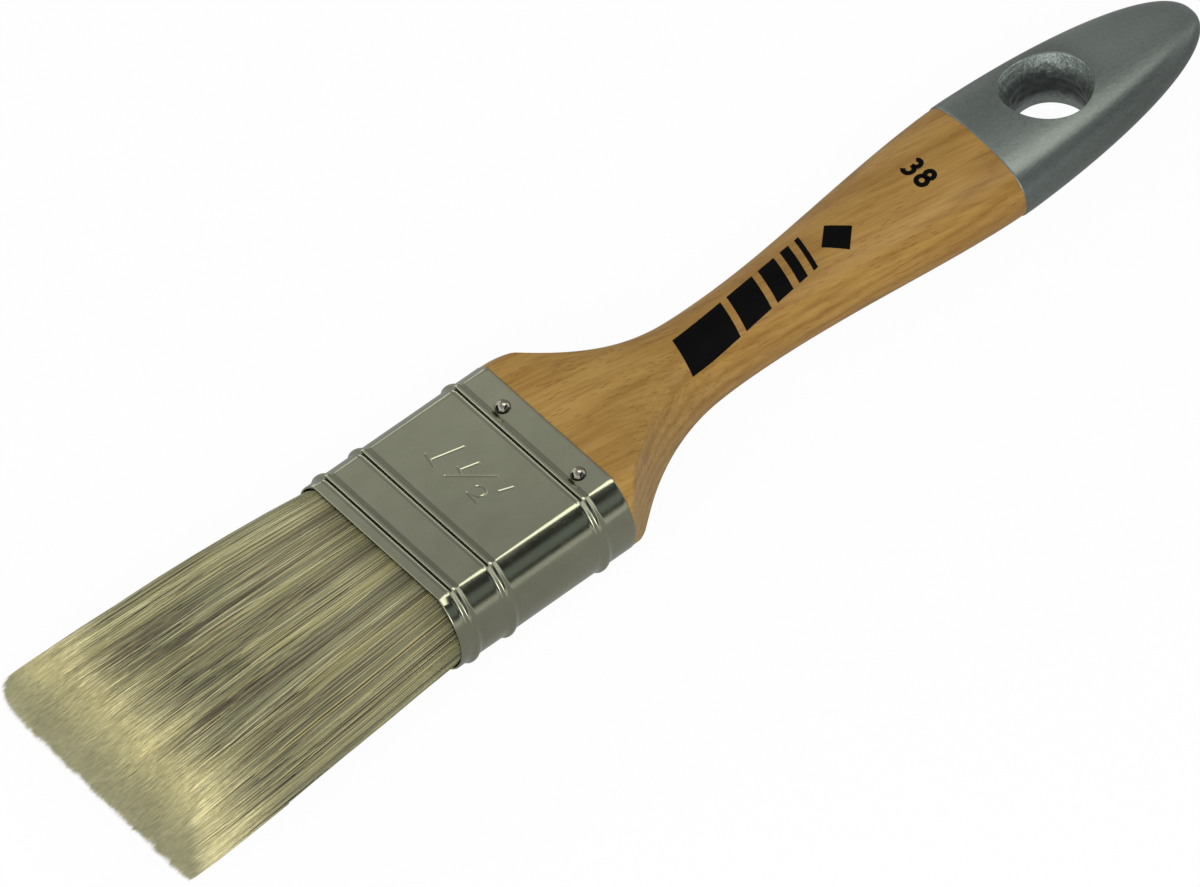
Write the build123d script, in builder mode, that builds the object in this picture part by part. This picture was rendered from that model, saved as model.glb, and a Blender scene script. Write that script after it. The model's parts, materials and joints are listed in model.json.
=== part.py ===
from build123d import *
from math import cos, pi, radians, sin, sqrt
import os

# Flat paint brush, 38 mm wide: a beech handle and a bank of synthetic filaments, held in one pressed steel
# ferrule. +X runs from the filament tips to the hang hole, +Y across the width and +Z out of the front face.
# The origin lies under the middle of the brush, level with the nail heads of the back face.
# Distances along the handle count from the end of the ferrule, the others from the mouth of the ferrule.

# ferrule: two flat faces joined by narrow sides that are arcs
ferrule_width = 38.0
ferrule_thickness = 16.5
ferrule_length = 33.5
side_bulge = 4.4
corner_radius = 1.0
sheet = 0.4
bead_height = 0.5
bead_width = 2.2
bead_rounding = 0.6
bead_places = (3.0, 10.0, 27.9)
seam_width = 4.0
seam_step = 0.3

# nails: two through each face of the ferrule into the handle
nail_inset = 3.2
nail_places = {"left": 7.2, "right": -10.4}
nail_shank = 1.3
nail_length = 6.5
nail_point = 1.6
nail_head = 2.5
nail_head_height = 1.0
nail_clearance = 0.02

# handle: half widths and half thicknesses of its oval at the shoulder, the neck and the belly
handle_reach = 124.8
shoulder_half_width = 18.9
shoulder_half_thickness = 8.4
shoulder_power = 2.7
neck_distance = 32.5
neck_half_width = 6.8
neck_half_thickness = 6.15
belly_distance = 85.5
belly_half_width = 11.5
belly_half_thickness = 6.45
nose_length = 46.3
nose_power = 2.25
oval_fullness = 0.78
crease_end = 26.0
flush_step = 0.1
tenon_length = 12.0
tenon_clearance = 0.05
hang_radius = 6.1
hang_setback = 28.3
hang_rounding = 0.9
hang_rim_turn = 60.0
hang_flare = 1.5
blade_ovals = 12
nose_ovals = 8
last_turn = 0.985

# coat of paint on the handle's end, dipped up to the paint line
dip_length = 42.3
dip_thickness = 0.25

# filaments, the wooden spacer between their two banks, and the resin that holds their butts
filament_reach = 55.5
filament_grip = 17.5
filament_clearance = 0.05
fan_half_width = 22.5
fan_half_thickness = 8.3
fan_bulge = 6.0
fan_corner = 3.0
fan_middle = 0.45
fan_swell = 0.7
tip_rounding = 6.0
tip_power = 3.5
tip_flat = 0.35
tip_narrowing = 4.0
tip_ovals = 4
tuft_width = 7.3
front_valleys = 5
back_valleys = 4
valley_radius = 3.0
valley_depth = 1.0
spacer_width = 27.0
spacer_thickness = 4.5
spacer_setback = 1.5
spacer_taper = 1.2

# how far a cutter runs past the face that it cuts
cut_margin = 1.0

# a cubic curve's middle stands three quarters of the way out to its inner points, and a quarter of an
# ellipse has its inner points at this share of its half width from its ends
cubic_middle = 0.75
ellipse_reach = 0.39

brush_length = filament_reach + ferrule_length + handle_reach
mouth = filament_reach - brush_length / 2
axis_height = ferrule_thickness / 2 + nail_head_height
resin_thickness = ferrule_length - tenon_length - filament_grip
nail_dome = (nail_head**2 / 4 + nail_head_height**2) / (2 * nail_head_height)
side_radius = (ferrule_thickness**2 / 4 + side_bulge**2) / (2 * side_bulge)
side_centre = ferrule_width / 2 - side_radius
hang_distance = handle_reach - hang_setback
dip_distance = handle_reach - dip_length
nail_spots = [(mouth + ferrule_length - nail_inset, y) for y in nail_places.values()]


def station(distance):
    """The plane across the brush at a distance from the ferrule's mouth."""
    return Plane(origin=(mouth + distance, 0, axis_height), x_dir=(0, 1, 0), z_dir=(1, 0, 0))


def flat_oval(distance, half_flat, half_thickness, half_width, corner):
    """Two flat faces joined by arcs, with the four corners rounded."""
    with BuildSketch(station(distance)) as outline:
        with BuildLine():
            front = Line((-half_flat, half_thickness), (half_flat, half_thickness))
            back = Line((half_flat, -half_thickness), (-half_flat, -half_thickness))
            ThreePointArc(front @ 1, (half_width, 0), back @ 0)
            ThreePointArc(back @ 1, (-half_width, 0), front @ 0)
        make_face()
        fillet(outline.vertices(), corner)
    return outline.sketch


def sleeve(distance, inset=0.0):
    """The ferrule's outline, moved inwards everywhere by the inset: outwards where it is negative."""
    radius = side_radius - inset
    half_thickness = ferrule_thickness / 2 - inset
    half_flat = side_centre + sqrt(radius**2 - half_thickness**2)
    return flat_oval(distance, half_flat, half_thickness, side_centre + radius, corner_radius - inset)


def ease(share):
    """0 to 1 with level ends."""
    share = min(max(share, 0.0), 1.0)
    return share * share * (3 - 2 * share)


def nose(distance):
    """The share of its full size that the handle keeps: 1 until the nose, 0 at its end."""
    share = max(distance - handle_reach + nose_length, 0.0) / nose_length
    return max(1 - share**2, 0.0) ** (1 / nose_power)


def half_width(distance):
    """A shoulder that falls in a curve to the neck, an eased swell to the belly, then the rounded nose."""
    fall = max(1 - distance / neck_distance, 0.0) ** shoulder_power
    shoulder = (shoulder_half_width - neck_half_width) * fall
    swell = ease((distance - neck_distance) / (belly_distance - neck_distance))
    return (neck_half_width + shoulder + (belly_half_width - neck_half_width) * swell) * nose(distance)


def half_thickness(distance):
    """Eased from the shoulder to the neck and from there to the belly."""
    fall = 1 - ease(distance / neck_distance)
    swell = ease((distance - neck_distance) / (belly_distance - neck_distance))
    thickness = neck_half_thickness + (shoulder_half_thickness - neck_half_thickness) * fall
    return (thickness + (belly_half_thickness - neck_half_thickness) * swell) * nose(distance)


def handle_oval(distance, skin=0.0):
    """Four cubic curves: a creased rectangle at the shoulder that eases into a full oval at the neck."""
    wide = half_width(distance) + skin
    thick = half_thickness(distance) + skin
    crease = 1 - ease(distance / crease_end)
    fullness = oval_fullness + (1 - oval_fullness) * crease
    bulge = (1 - fullness) / cubic_middle
    reach = crease * ellipse_reach + (1 - crease) * bulge
    y, z = fullness * wide, fullness * thick
    flat_y, flat_z = (fullness - reach) * wide, (fullness + bulge) * thick
    edge_y, edge_z = (fullness + bulge) * wide, (fullness - reach) * thick
    with BuildSketch(station(ferrule_length + distance + skin * (1 - nose(distance)))) as oval:
        with BuildLine():
            Bezier((-y, z), (-flat_y, flat_z), (flat_y, flat_z), (y, z))
            Bezier((y, z), (edge_y, edge_z), (edge_y, -edge_z), (y, -z))
            Bezier((y, -z), (flat_y, -flat_z), (-flat_y, -flat_z), (-y, -z))
            Bezier((-y, -z), (-edge_y, -edge_z), (-edge_y, edge_z), (-y, z))
        make_face()
    return oval.sketch


def blade_places():
    """Where the ovals of the bare wood stand: evenly from the shoulder to the paint line."""
    return [dip_distance * i / blade_ovals for i in range(blade_ovals + 1)]


def nose_places():
    """Where the ovals of the painted end stand: closer and closer from the paint line to the end."""
    turns = [last_turn * i / nose_ovals * pi / 2 for i in range(nose_ovals + 1)]
    return [dip_distance + dip_length * sin(turn) for turn in turns]


def hang_cut(radius, rim_height):
    """Half of a bore's section, with each rim rounded through its turn and then flared."""
    slope = radians(90 - hang_rim_turn)
    rim_centre = (radius + hang_rounding, rim_height - hang_rounding)
    centre = (mouth + ferrule_length + hang_distance, 0, axis_height)
    with BuildSketch(Plane(origin=centre, x_dir=(1, 0, 0), z_dir=(0, -1, 0))) as cut:
        with BuildLine():
            wall = Line((radius, 0), (radius, rim_height - hang_rounding))
            rim = CenterArc(rim_centre, hang_rounding, 180 - hang_rim_turn, hang_rim_turn)
            flare = Line(rim @ 0, rim @ 0 + Vector(hang_flare * cos(slope), hang_flare * sin(slope)))
            Polyline(flare @ 1, (0, (flare @ 1).Y), (0, 0), wall @ 0)
        make_face()
        mirror(about=Plane.XZ)
    return cut.sketch


def bead(distance):
    """A rolled bead round the sleeve, as one rounded slice."""
    with BuildPart() as ring:
        extrude(sleeve(distance - bead_width / 2, -bead_height), amount=bead_width)
        ends = ring.edges().group_by(Axis.X)
        fillet(ends[0] + ends[-1], bead_rounding)
    return ring.part


def bundle_oval(distance, share=1.0):
    """The filaments' section at a distance, cut down to a share of the fan's thickness near the tips."""
    wide = fan_half_width - tip_narrowing * (1 - share) ** 2
    half_flat = wide - fan_bulge * share**2
    return flat_oval(distance, half_flat, fan_half_thickness * share, wide, fan_corner * share)


def middle_oval(distance, grip):
    """The filaments' section part of the way along the fan, wider than a straight side would be."""
    root, end = ferrule_width / 2 - grip, fan_half_width
    wide = root + (end - root) * fan_middle + fan_swell
    half_thickness = (ferrule_thickness / 2 - grip) * (1 - fan_middle) + fan_half_thickness * fan_middle
    bulge = side_bulge + (fan_bulge - side_bulge) * fan_middle
    return flat_oval(distance * fan_middle, wide - bulge, half_thickness, wide, fan_corner * fan_middle)


def valley(place, way):
    """A cutter for the valley between two tufts: it starts clear of them and is deepest at the tips."""
    start_place = place * ferrule_width / 2 / fan_half_width
    with BuildSketch(station(0)) as start:
        with Locations((start_place, way * (ferrule_thickness / 2 + valley_radius))):
            Circle(valley_radius)
    with BuildSketch(station(-filament_reach)) as end:
        with Locations((place, way * (fan_half_thickness - valley_depth + valley_radius))):
            Circle(valley_radius)
    with BuildPart() as cutter:
        loft([start.sketch, end.sketch])
    return cutter.part


def drill_nails():
    """Nail holes in the active part, in through the front and the back to just past the nails' points."""
    bottom = ferrule_thickness / 2 - nail_length - nail_clearance
    for way in (1, -1):
        with BuildSketch(Plane.XY.offset(axis_height + way * bottom)) as holes:
            with Locations(*nail_spots):
                Circle(nail_shank / 2 + nail_clearance)
        extrude(holes.sketch, amount=way * (nail_length + cut_margin), mode=Mode.SUBTRACT)


def export(piece, name):
    """Label a finished piece and write it under its own name."""
    piece.label = name
    export_step(piece, f"parts/{name}.step")


os.makedirs("parts", exist_ok=True)
hang_axis = Axis((mouth + ferrule_length + hang_distance, 0, 0), (0, 0, 1))
hang_height = half_thickness(hang_distance)

# the wood under the paint
wood_end = loft([handle_oval(place) for place in nose_places()])

# handle: a lofted blade trimmed to the ferrule's outline, with a tenon that fills the ferrule's top
with BuildPart() as handle:
    loft([handle_oval(place) for place in blade_places()])
    extrude(sleeve(ferrule_length, flush_step), amount=handle_reach, mode=Mode.INTERSECT)
    add(wood_end)
    extrude(sleeve(ferrule_length - tenon_length, sheet + tenon_clearance), amount=tenon_length)
    revolve(hang_cut(hang_radius, hang_height), axis=hang_axis, mode=Mode.SUBTRACT)
    drill_nails()
export(handle.part, "handle")

# handle_dip: the coat of paint on the outside of the handle's end, open at both rims of the hang hole
with BuildPart() as handle_dip:
    loft([handle_oval(place, dip_thickness) for place in nose_places()])
    add(wood_end, mode=Mode.SUBTRACT)
    revolve(hang_cut(hang_radius, hang_height + dip_thickness), axis=hang_axis, mode=Mode.SUBTRACT)
export(handle_dip.part, "handle_dip")

# the seam's upper leaf: a strip of the sleeve's outline, one step proud of it
with BuildPart() as seam:
    extrude(sleeve(0, -seam_step), amount=ferrule_length)
    with BuildSketch(station(0)):
        with Locations((ferrule_width / 2, 0)):
            Rectangle(side_bulge, seam_width)
    extrude(amount=ferrule_length, mode=Mode.INTERSECT)

# ferrule: a sheet sleeve with three rolled beads and a lapped seam down one narrow side
with BuildPart() as ferrule:
    extrude(sleeve(0), amount=ferrule_length)
    add(seam.part)
    for place in bead_places:
        add(bead(place))
    extrude(sleeve(0, sheet), amount=ferrule_length, mode=Mode.SUBTRACT)
    groove_width = bead_width - 2 * sheet
    for place in bead_places:
        groove = sleeve(place - groove_width / 2, sheet - bead_height)
        extrude(groove, amount=groove_width, mode=Mode.SUBTRACT)
    drill_nails()
export(ferrule.part, "ferrule")

# nails: a domed head on a pointed shank
for side, y in nail_places.items():
    for face, way in (("front", 1), ("back", -1)):
        seat = Vector(nail_spots[0][0], y, axis_height + way * ferrule_thickness / 2)
        with BuildPart() as nail:
            with BuildSketch(Plane(origin=seat, x_dir=(1, 0, 0), z_dir=(0, -way, 0))):
                with BuildLine():
                    head_edge = (nail_head / 2, 0)
                    dome = RadiusArc((0, nail_head_height), head_edge, nail_dome)
                    Polyline(
                        dome @ 1,
                        (nail_shank / 2, 0),
                        (nail_shank / 2, nail_point - nail_length),
                        (0, -nail_length),
                        dome @ 0,
                    )
                make_face()
            revolve(axis=Axis(seat, (0, 0, 1)))
        export(nail.part, f"nail_{face}_{side}")

# spacer: a wooden wedge between the two banks of filaments
with BuildPart() as spacer:
    with BuildSketch(station(spacer_setback)) as thin_end:
        Rectangle(spacer_width, spacer_thickness - spacer_taper)
    with BuildSketch(station(filament_grip)) as thick_end:
        Rectangle(spacer_width, spacer_thickness)
    loft([thin_end.sketch, thick_end.sketch])
export(spacer.part, "spacer")

# resin: the block that holds the butts of the filaments, between them and the handle's tenon
with BuildPart() as resin:
    extrude(sleeve(filament_grip, sheet), amount=resin_thickness)
export(resin.part, "resin")

# filaments: one bundle that fills the ferrule, fans out in tufts and rounds off at its tips
tip_shares = [tip_flat + (1 - tip_flat) * i / tip_ovals for i in range(tip_ovals + 1)]
tip_setbacks = [tip_rounding * (share**tip_power - tip_flat**tip_power) for share in tip_shares]
with BuildPart() as bundle:
    extrude(sleeve(0, sheet + filament_clearance), amount=filament_grip)
    fan_end = tip_setbacks[-1] - filament_reach
    root = sleeve(0, sheet + filament_clearance)
    loft([root, middle_oval(fan_end, sheet + filament_clearance), bundle_oval(fan_end)])
    loft([bundle_oval(back - filament_reach, share) for back, share in zip(tip_setbacks, tip_shares)])
    for way, count in ((1, front_valleys), (-1, back_valleys)):
        for i in range(count):
            add(valley((i - (count - 1) / 2) * tuft_width, way), mode=Mode.SUBTRACT)

# the bundle's front and back banks, which close round the spacer
for face, kept in (("front", Keep.TOP), ("back", Keep.BOTTOM)):
    with BuildPart() as bank:
        add(bundle.part)
        split(bisect_by=Plane.XY.offset(axis_height), keep=kept)
        add(spacer.part, mode=Mode.SUBTRACT)
    export(bank.part, f"filaments_{face}")
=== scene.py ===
import json
import math

import bpy
import numpy as np
from bpy.props import FloatProperty, FloatVectorProperty, IntProperty, PointerProperty
from mathutils import Matrix, Vector


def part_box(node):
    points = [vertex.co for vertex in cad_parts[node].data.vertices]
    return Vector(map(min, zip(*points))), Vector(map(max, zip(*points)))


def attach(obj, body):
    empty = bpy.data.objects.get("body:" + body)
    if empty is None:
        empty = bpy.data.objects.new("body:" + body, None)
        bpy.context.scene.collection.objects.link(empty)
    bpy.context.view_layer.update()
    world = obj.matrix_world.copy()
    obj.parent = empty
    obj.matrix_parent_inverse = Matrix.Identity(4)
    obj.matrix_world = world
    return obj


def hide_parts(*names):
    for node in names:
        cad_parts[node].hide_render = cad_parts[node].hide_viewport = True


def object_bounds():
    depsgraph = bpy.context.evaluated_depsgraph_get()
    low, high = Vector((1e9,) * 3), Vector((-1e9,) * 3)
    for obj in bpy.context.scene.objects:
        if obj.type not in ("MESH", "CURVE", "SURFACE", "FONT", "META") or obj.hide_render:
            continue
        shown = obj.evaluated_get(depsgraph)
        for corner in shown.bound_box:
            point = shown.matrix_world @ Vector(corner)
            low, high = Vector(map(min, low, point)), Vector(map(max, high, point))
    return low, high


bl_info = {
    "name": "Flat paint brush",
    "version": (1, 0, 0),
    "blender": (4, 5, 0),
    "location": "View3D > Sidebar > Brush",
    "description": "Dresses the flat paint brush: beech, dip paint, pressed steel and filaments",
    "category": "Object",
}

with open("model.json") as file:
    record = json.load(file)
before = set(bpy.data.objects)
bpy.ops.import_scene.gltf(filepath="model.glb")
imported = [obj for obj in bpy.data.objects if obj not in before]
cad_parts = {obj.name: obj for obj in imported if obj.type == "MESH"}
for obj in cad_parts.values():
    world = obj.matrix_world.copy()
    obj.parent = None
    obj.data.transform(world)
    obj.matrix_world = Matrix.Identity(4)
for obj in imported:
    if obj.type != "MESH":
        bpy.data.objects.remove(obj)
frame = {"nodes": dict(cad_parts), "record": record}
cad_low, cad_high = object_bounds()
ferrule_low, ferrule_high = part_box("ferrule")
dip_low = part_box("handle_dip")[0]
hang_mount = next(m for m in frame["record"]["mounts"] if m["name"] == "hang_hole")

BODY = "root"
MM = 0.001
MOUTH = ferrule_low.x
SHOULDER = ferrule_high.x
AXIS_Z = (ferrule_low.z + ferrule_high.z) / 2
HANG_X = hang_mount["pos_m"][0]
HANG_RADIUS = hang_mount["dims"]["r_mm"] * MM

# Lengths are in metres and turns in radians, unless a comment says otherwise. A name with WAVES holds a
# ripple's seed, its count of waves and their lowest and highest rates. A name with WAY ends with where a
# change starts and how far it takes.

# handle: its oval's cubic curves, its rows, its tenon and how far it stands to one side
CUBIC_MIDDLE = 0.75
ELLIPSE_REACH = 0.39
TURNS = 48
ROW_STEP = 0.6 * MM
NOSE_TURNS = (1.50, 1.53, 1.553, 1.565)
HALVINGS = 40
NEAR_CORNER = 0.999999
FLUSH = 0.1 * MM
FLUSH_REACH = 12 * MM
FLUSH_SLOPE = 4
EDGE_SOFTNESS = 0.25 * MM
TENON = 12 * MM
TENON_GAP = 0.05 * MM
SHOULDER_SET = 0.28 * MM
BLADE_SET = 0.22 * MM
SHOULDER_SET_WAY = (8 * MM, 24 * MM)
BLADE_SET_WAY = (28 * MM, 34 * MM)

# hang hole: the rows round it, the uneven flare of its rim and the lumps of its wall
HOLE_MARGIN = 1.6 * MM
PATCH_ROWS = 5
RIM_ROWS = 12
RIM_CROWDING = 1.3
WALL_ROWS = 30
BORE_LUMP = 0.07 * MM
BORE_WAVES = (7, 24, 1400, 4200)
FLARE_POWER = 1.5
DROP_POWER = 0.9
FLARE_SHIFT = (0.42 * MM, 0.78 * MM)
FLARE_LONG = 0.22
FLARE_TURN = -0.6
BACK_FLARE = 0.45

# dip paint: the rows of its edge, in millimetres, and the share of its thickness at all but the last
EDGE_ROWS = (0, 0.06, 0.14, 0.26, 0.40)
EDGE_SHARES = (0.10, 0.5, 0.8, 0.95)
FILM_OVERLAP = 0.01 * MM

# ferrule: its bead in bead widths, each part as its place and its width, and the finer shapes of its sheet
BEAD_RISE = (-0.44, 0.26)
BEAD_FALL = (-0.06, 0.56)
GROOVE_SPOT = (-0.52, 0.12)
GROOVE = 0.06 * MM
BEAD_ROWS = (-0.76, 0.54, 34)
PLAIN_STEP = 1.3 * MM
PLAIN_GAP = 0.5 * MM
LIP = 0.2 * MM
BACK_STEPS = 22
STAMP_STEP = 0.11 * MM
STAMP_REACH = 9.2 * MM
STAMP_LENGTH = 9 * MM
SEAM_RISE = 1.5 * MM
SEAM_DROP = 0.12 * MM
SHEET_WAVES = (3, 10, 150, 420)
WAVINESS = 0.018 * MM
WAVE_MIX = (1.0, 0.6)
NAIL_DIMPLE = 0.04 * MM
DIMPLE_RADIUS = 1.7 * MM
NAIL_DOME = (0.14, 0.86, 2.2)
NAIL_SHANK = 0.65 * MM
NAIL_POINT = 1.6 * MM

# filaments: the bundle's shape, then each strand's place, drift and end
ROOT_GAP = 0.12 * MM
FAN_BULGE = 1.6 * MM
THICKENING = 1.6
FAR_PUSH = 0.45 * MM
TIP_SWAY = 0.45 * MM
PUSH_WAY = (0.06, 0.25, 0.35)
SWAY_WAY = (0.4, 0.6)
NEAR_SWAY = 0.6
END_EXTRA = 0.30 * MM
END_SLANT = 0.40 * MM
VALLEY_SOFTNESS = 0.5 * MM
CORE_SHARE = (0.955, 0.90)
CORE_LENGTH = 0.80
CORE_CAP = 0.06
SIDE_SHARE = 0.26
LAYER = 0.15
LAYER_SCALE = 5
TUFT_WAVES = (14, 30, 4.5, 13.0)
TUFT_STEP = 0.32 * MM
TUFT_LIMIT = 2.5
TIP_LOSS = 0.16 * MM
CLUMP_WAVES = (11, 14, 0.2, 2.4)
CLUMP_DRIFT = 0.60 * MM
CLUMP_SCALE = 0.8
FINE_WAVES = (12, 14, 2.0, 7.0)
FINE_DRIFT = 0.34 * MM
OWN_DRIFT = 0.34 * MM
OWN_SWING = 0.13 * MM
OWN_RATES = (4, 12)
OWN_LIFT = 0.12 * MM
STRAY_SHARE = 0.16
STRAY = 3.8
WEAVE = 0.28 * MM
WEAVE_RATES = (3, 11)
FREEING = 1.3
BOW_WAY = (0.10, 0.86, 0.14)
RADIUS_SPREAD = (0.75, 1.25)
NARROWING = 0.25
POINT_WAY = (0.4, 0.92, 0.08)
RING_CROWDING = 0.85
LONG_RINGS = 10
TIP_RINGS = 6
TIP_PIECES = 4
TIP_STARTS = (0.48, 0.80)
TIP_LOOSENESS = 0.6
ROOT_DEPTH = 2 * MM

# filaments: their tones across the map, from 0 dark to 1 pale; bands and the far side's way in millimetres,
# where its strands are made paler as painted light
TONE_WIDTH = 0.02
TONE_LIMIT = 0.98
TONE_MIDDLE = 0.45
TONE_SPREAD = 0.16
BAND_TONE = 0.07
BAND_STEP = 13
FAR_PAINTED_LIGHT_WAY = (0.10, 14, 5)
CLUMP_TONE = 0.03
STREAK_TONE = 0.12
STREAK_WAVES = (13, 30, 7.0, 22.0)

# the grain's lean from the handle's length, in degrees
GRAIN_LEAN = 11

# printed marks: sizes and places from the mouth, across the handle's front; leans are in degrees
INK_LIFT = 0.035 * MM
INK_SINK = 0.06 * MM
FIGURE_HEIGHT = 3.9 * MM
FIGURE_WIDTH = 2.55 * MM
FIGURE_GAP = 3.1 * MM
FIGURE_STROKE = 0.80 * MM
FIGURE_PLACE = (105.3 * MM, 0.45 * MM)
PATTERN_PLACE = (70.2 * MM, -1.10 * MM)
PATTERN_LENGTH = 27 * MM
PATTERN_WIDTH = 6.3 * MM
PATTERN_LEAN = 6
PATTERN_SLANT = 0.35
PATTERN_BARS = (10.2 * MM, 5.4 * MM, 3.4 * MM, 1.8 * MM, 0.9 * MM)
PATTERN_GAP = 1.3 * MM
DIAMOND_PLACE = (88.4 * MM, -0.6 * MM)
DIAMOND_HALF = 3.0 * MM

# stage: each lamp's name, place and power, and each card's name, place, facing, width, height and strength
SKY_LEVEL = 0.36
FLOOR_GLOW = 0.96
FLOOR_MIRROR = 0.35
FLOOR_SIZE = 6.0
LAMP_SIZE = 0.6
LAMPS = (
    ("key lamp", (-0.85, -0.35, 0.50), 6.0),
    ("front lamp", (-0.25, -0.80, 0.65), 5.0),
    ("far lamp", (0.15, 0.85, 0.45), 3.2),
)
CARDS = (
    ("ceiling card", (0, 0, 1.6), (0, 0, -1), 3.6, 3.6, 0.44),
    ("front card", (0.2, -1.16, 0.083), (0, 1, 0), 2.6, 0.155, 0.68),
    ("low card", (-0.76, -1.13, 0.24), (0.72, 1.07, -0.20), 0.70, 0.36, 5.0),
    ("side card", (0.94, 0.65, 0.45), (-0.80, -0.55, -0.20), 1.5, 1.2, 0.28),
    ("bead card", (-0.59, 0.63, 0.83), (0.59, -0.63, -0.83), 0.40, 0.40, 1.3),
    ("ground card", (0.05, 0, 0.0002), (0, 0, 1), 0.9, 0.7, 0.36),
    ("dark screen", (-0.90, 0.60, 0.26), (0.83, -0.55, -0.20), 1.3, 0.52, 0.02),
)

# cards that the narrow side mirrors: name, middle and half height in degrees, distance, width, strength, tint
CARD_SLOPE = 0.355
SLANTED_CARDS = (
    ("bright card", 78, 26, 1.2, 0.62, 2.5, (1, 0.99, 0.92)),
    ("dark card", 42, 9.5, 1.1, 1.6, 0.025, (0.8, 0.9, 1)),
    ("dim card", 25, 8.5, 1.1, 1.6, 0.26, (0.85, 0.95, 1)),
    ("low dark card", 12.5, 4.5, 1.1, 1.6, 0.02, (1, 1, 1)),
)


def length(name, description, default):
    """A length property, whose default is given in millimetres."""
    return FloatProperty(
        name=name, description=description, default=default * MM, min=0, unit="LENGTH", precision=5
    )


def colour(name, description, default):
    """A colour property, in linear values."""
    return FloatVectorProperty(
        name=name, description=description, default=default, subtype="COLOR", size=3, min=0, max=1
    )


def share(name, description, default):
    """A number from 0 to 1."""
    return FloatProperty(name=name, description=description, default=default, min=0, max=1, subtype="FACTOR")


def turn_angle(name, description, degrees):
    """An angle property, whose default is given in degrees."""
    return FloatProperty(name=name, description=description, default=math.radians(degrees), unit="ROTATION")


class HandleSizes(bpy.types.PropertyGroup):
    """Half widths and half thicknesses of the handle, and where they stand past the ferrule's end."""

    shoulder_half_width: length("Shoulder half width", "At the ferrule's end", 18.9)
    shoulder_half_thickness: length("Shoulder half thickness", "At the ferrule's end", 8.4)
    neck_distance: length("Neck distance", "From the ferrule's end to the neck", 32.5)
    neck_half_width: length("Neck half width", "Narrowest half width", 6.8)
    neck_half_thickness: length("Neck half thickness", "Half thickness at the neck", 6.15)
    belly_distance: length("Belly distance", "From the ferrule's end to the belly", 85.5)
    belly_half_width: length("Belly half width", "Widest half width", 11.5)
    belly_half_thickness: length("Belly half thickness", "Half thickness at the belly", 6.45)
    nose_length: length("Nose length", "The tapering end of the handle", 46.3)
    nose_power: FloatProperty(name="Nose power", description="Bluntness of the nose", default=2.25, min=1)
    shoulder_power: FloatProperty(name="Shoulder power", description="Curve of its sides", default=2.7, min=1)
    crease_end: length("Crease end", "Where the shoulder's creases have faded", 26)
    fullness: share("Fullness", "How square the oval is at the neck and beyond", 0.755)
    dip_thickness: length("Dip thickness", "How far the paint stands proud of the wood", 0.16)
    rim_flare: length("Rim flare", "How far the hang hole opens at its rims", 1.17)
    rim_depth: length("Rim depth", "How deep the flare reaches", 4.0)


class FerruleSizes(bpy.types.PropertyGroup):
    """The pressed sleeve: flat faces, bulged narrow sides and rolled beads."""

    width: length("Width", "Over the narrow sides", 38)
    thickness: length("Thickness", "Over the flat faces", 16.5)
    bulge: length("Side bulge", "How far the narrow sides stand out", 4.4)
    corner: length("Corner radius", "Where a flat face turns into a narrow side", 0.7)
    soft_corner: length("Soft corner radius", "The same, where a panel meets the next bead", 1.8)
    sheet: length("Sheet", "Thickness of the steel", 0.4)
    bead_height: length("Bead height", "How far a bead stands out", 0.48)
    bead_width: length("Bead width", "Width of a bead", 2.1)
    bead_places: FloatVectorProperty(
        name="Bead places", description="From the mouth", default=(3 * MM, 10 * MM, 27.9 * MM), unit="LENGTH"
    )
    stamp_place: length("Stamp place", "Middle of the stamped size, from the mouth", 18.5)
    stamp_depth: length("Stamp depth", "Depth of the stamped size", 0.08)
    stamp_stroke: length("Stamp stroke", "Half width of a stamped stroke", 0.14)
    seam_width: length("Seam width", "The lap down the hidden narrow side", 4)
    seam_step: length("Seam step", "Step at the lap", 0.28)


class FilamentSizes(bpy.types.PropertyGroup):
    """The fan of filaments beyond the ferrule's mouth."""

    fan_half_width: length("Fan half width", "Half width at the tips", 22.4)
    fan_middle: share("Fan middle", "Where the fan's sides swell most", 0.45)
    fan_swell: length("Fan swell", "How far its sides swell there", 0.7)
    fan_half_thickness: length("Fan half thickness", "Half thickness where the bundle is fullest", 8.2)
    tip_rounding: length("Tip rounding", "How far the faces end short of the middle", 5.6)
    side_rounding: length("Side rounding", "How far the narrow sides end short of the middle", 0.5)
    tuft_width: length("Tuft width", "Between two valleys at the tips", 7.3)
    valley_radius: length("Valley radius", "Of the valleys between tufts", 3)
    valley_depth: length("Valley depth", "At the tips", 1)
    radius: length("Filament radius", "At the root", 0.115)
    strands: IntProperty(name="Strands", description="Long strands in each piece", default=3600, min=100)
    tips: IntProperty(name="Tips", description="Short strands in each inner piece", default=6000, min=100)


class Finishes(bpy.types.PropertyGroup):
    """Colours of the brush."""

    beech_pale: colour("Pale beech", "Early wood", (0.46, 0.288, 0.081))
    beech_dark: colour("Dark beech", "Late wood", (0.29, 0.156, 0.033))
    fleck: colour("Fleck", "Ray flecks", (0.17, 0.062, 0.014))
    silver: colour("Silver", "Dip paint", (0.168, 0.192, 0.178))
    steel: colour("Steel", "Ferrule", (0.435, 0.445, 0.32))
    nickel: colour("Nickel", "Nails", (0.42, 0.40, 0.32))
    ink: colour("Ink", "Printed marks", (0.003, 0.003, 0.003))
    cream: colour("Cream", "Pale filaments", (0.52, 0.50, 0.30))
    straw: colour("Straw", "Yellow filaments", (0.42, 0.375, 0.17))
    sage: colour("Sage", "Grey-green filaments", (0.255, 0.262, 0.155))
    umber: colour("Umber", "Grey-brown filaments", (0.150, 0.124, 0.078))
    flag: colour("Flag", "Flagged tips", (0.66, 0.605, 0.33))


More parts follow.
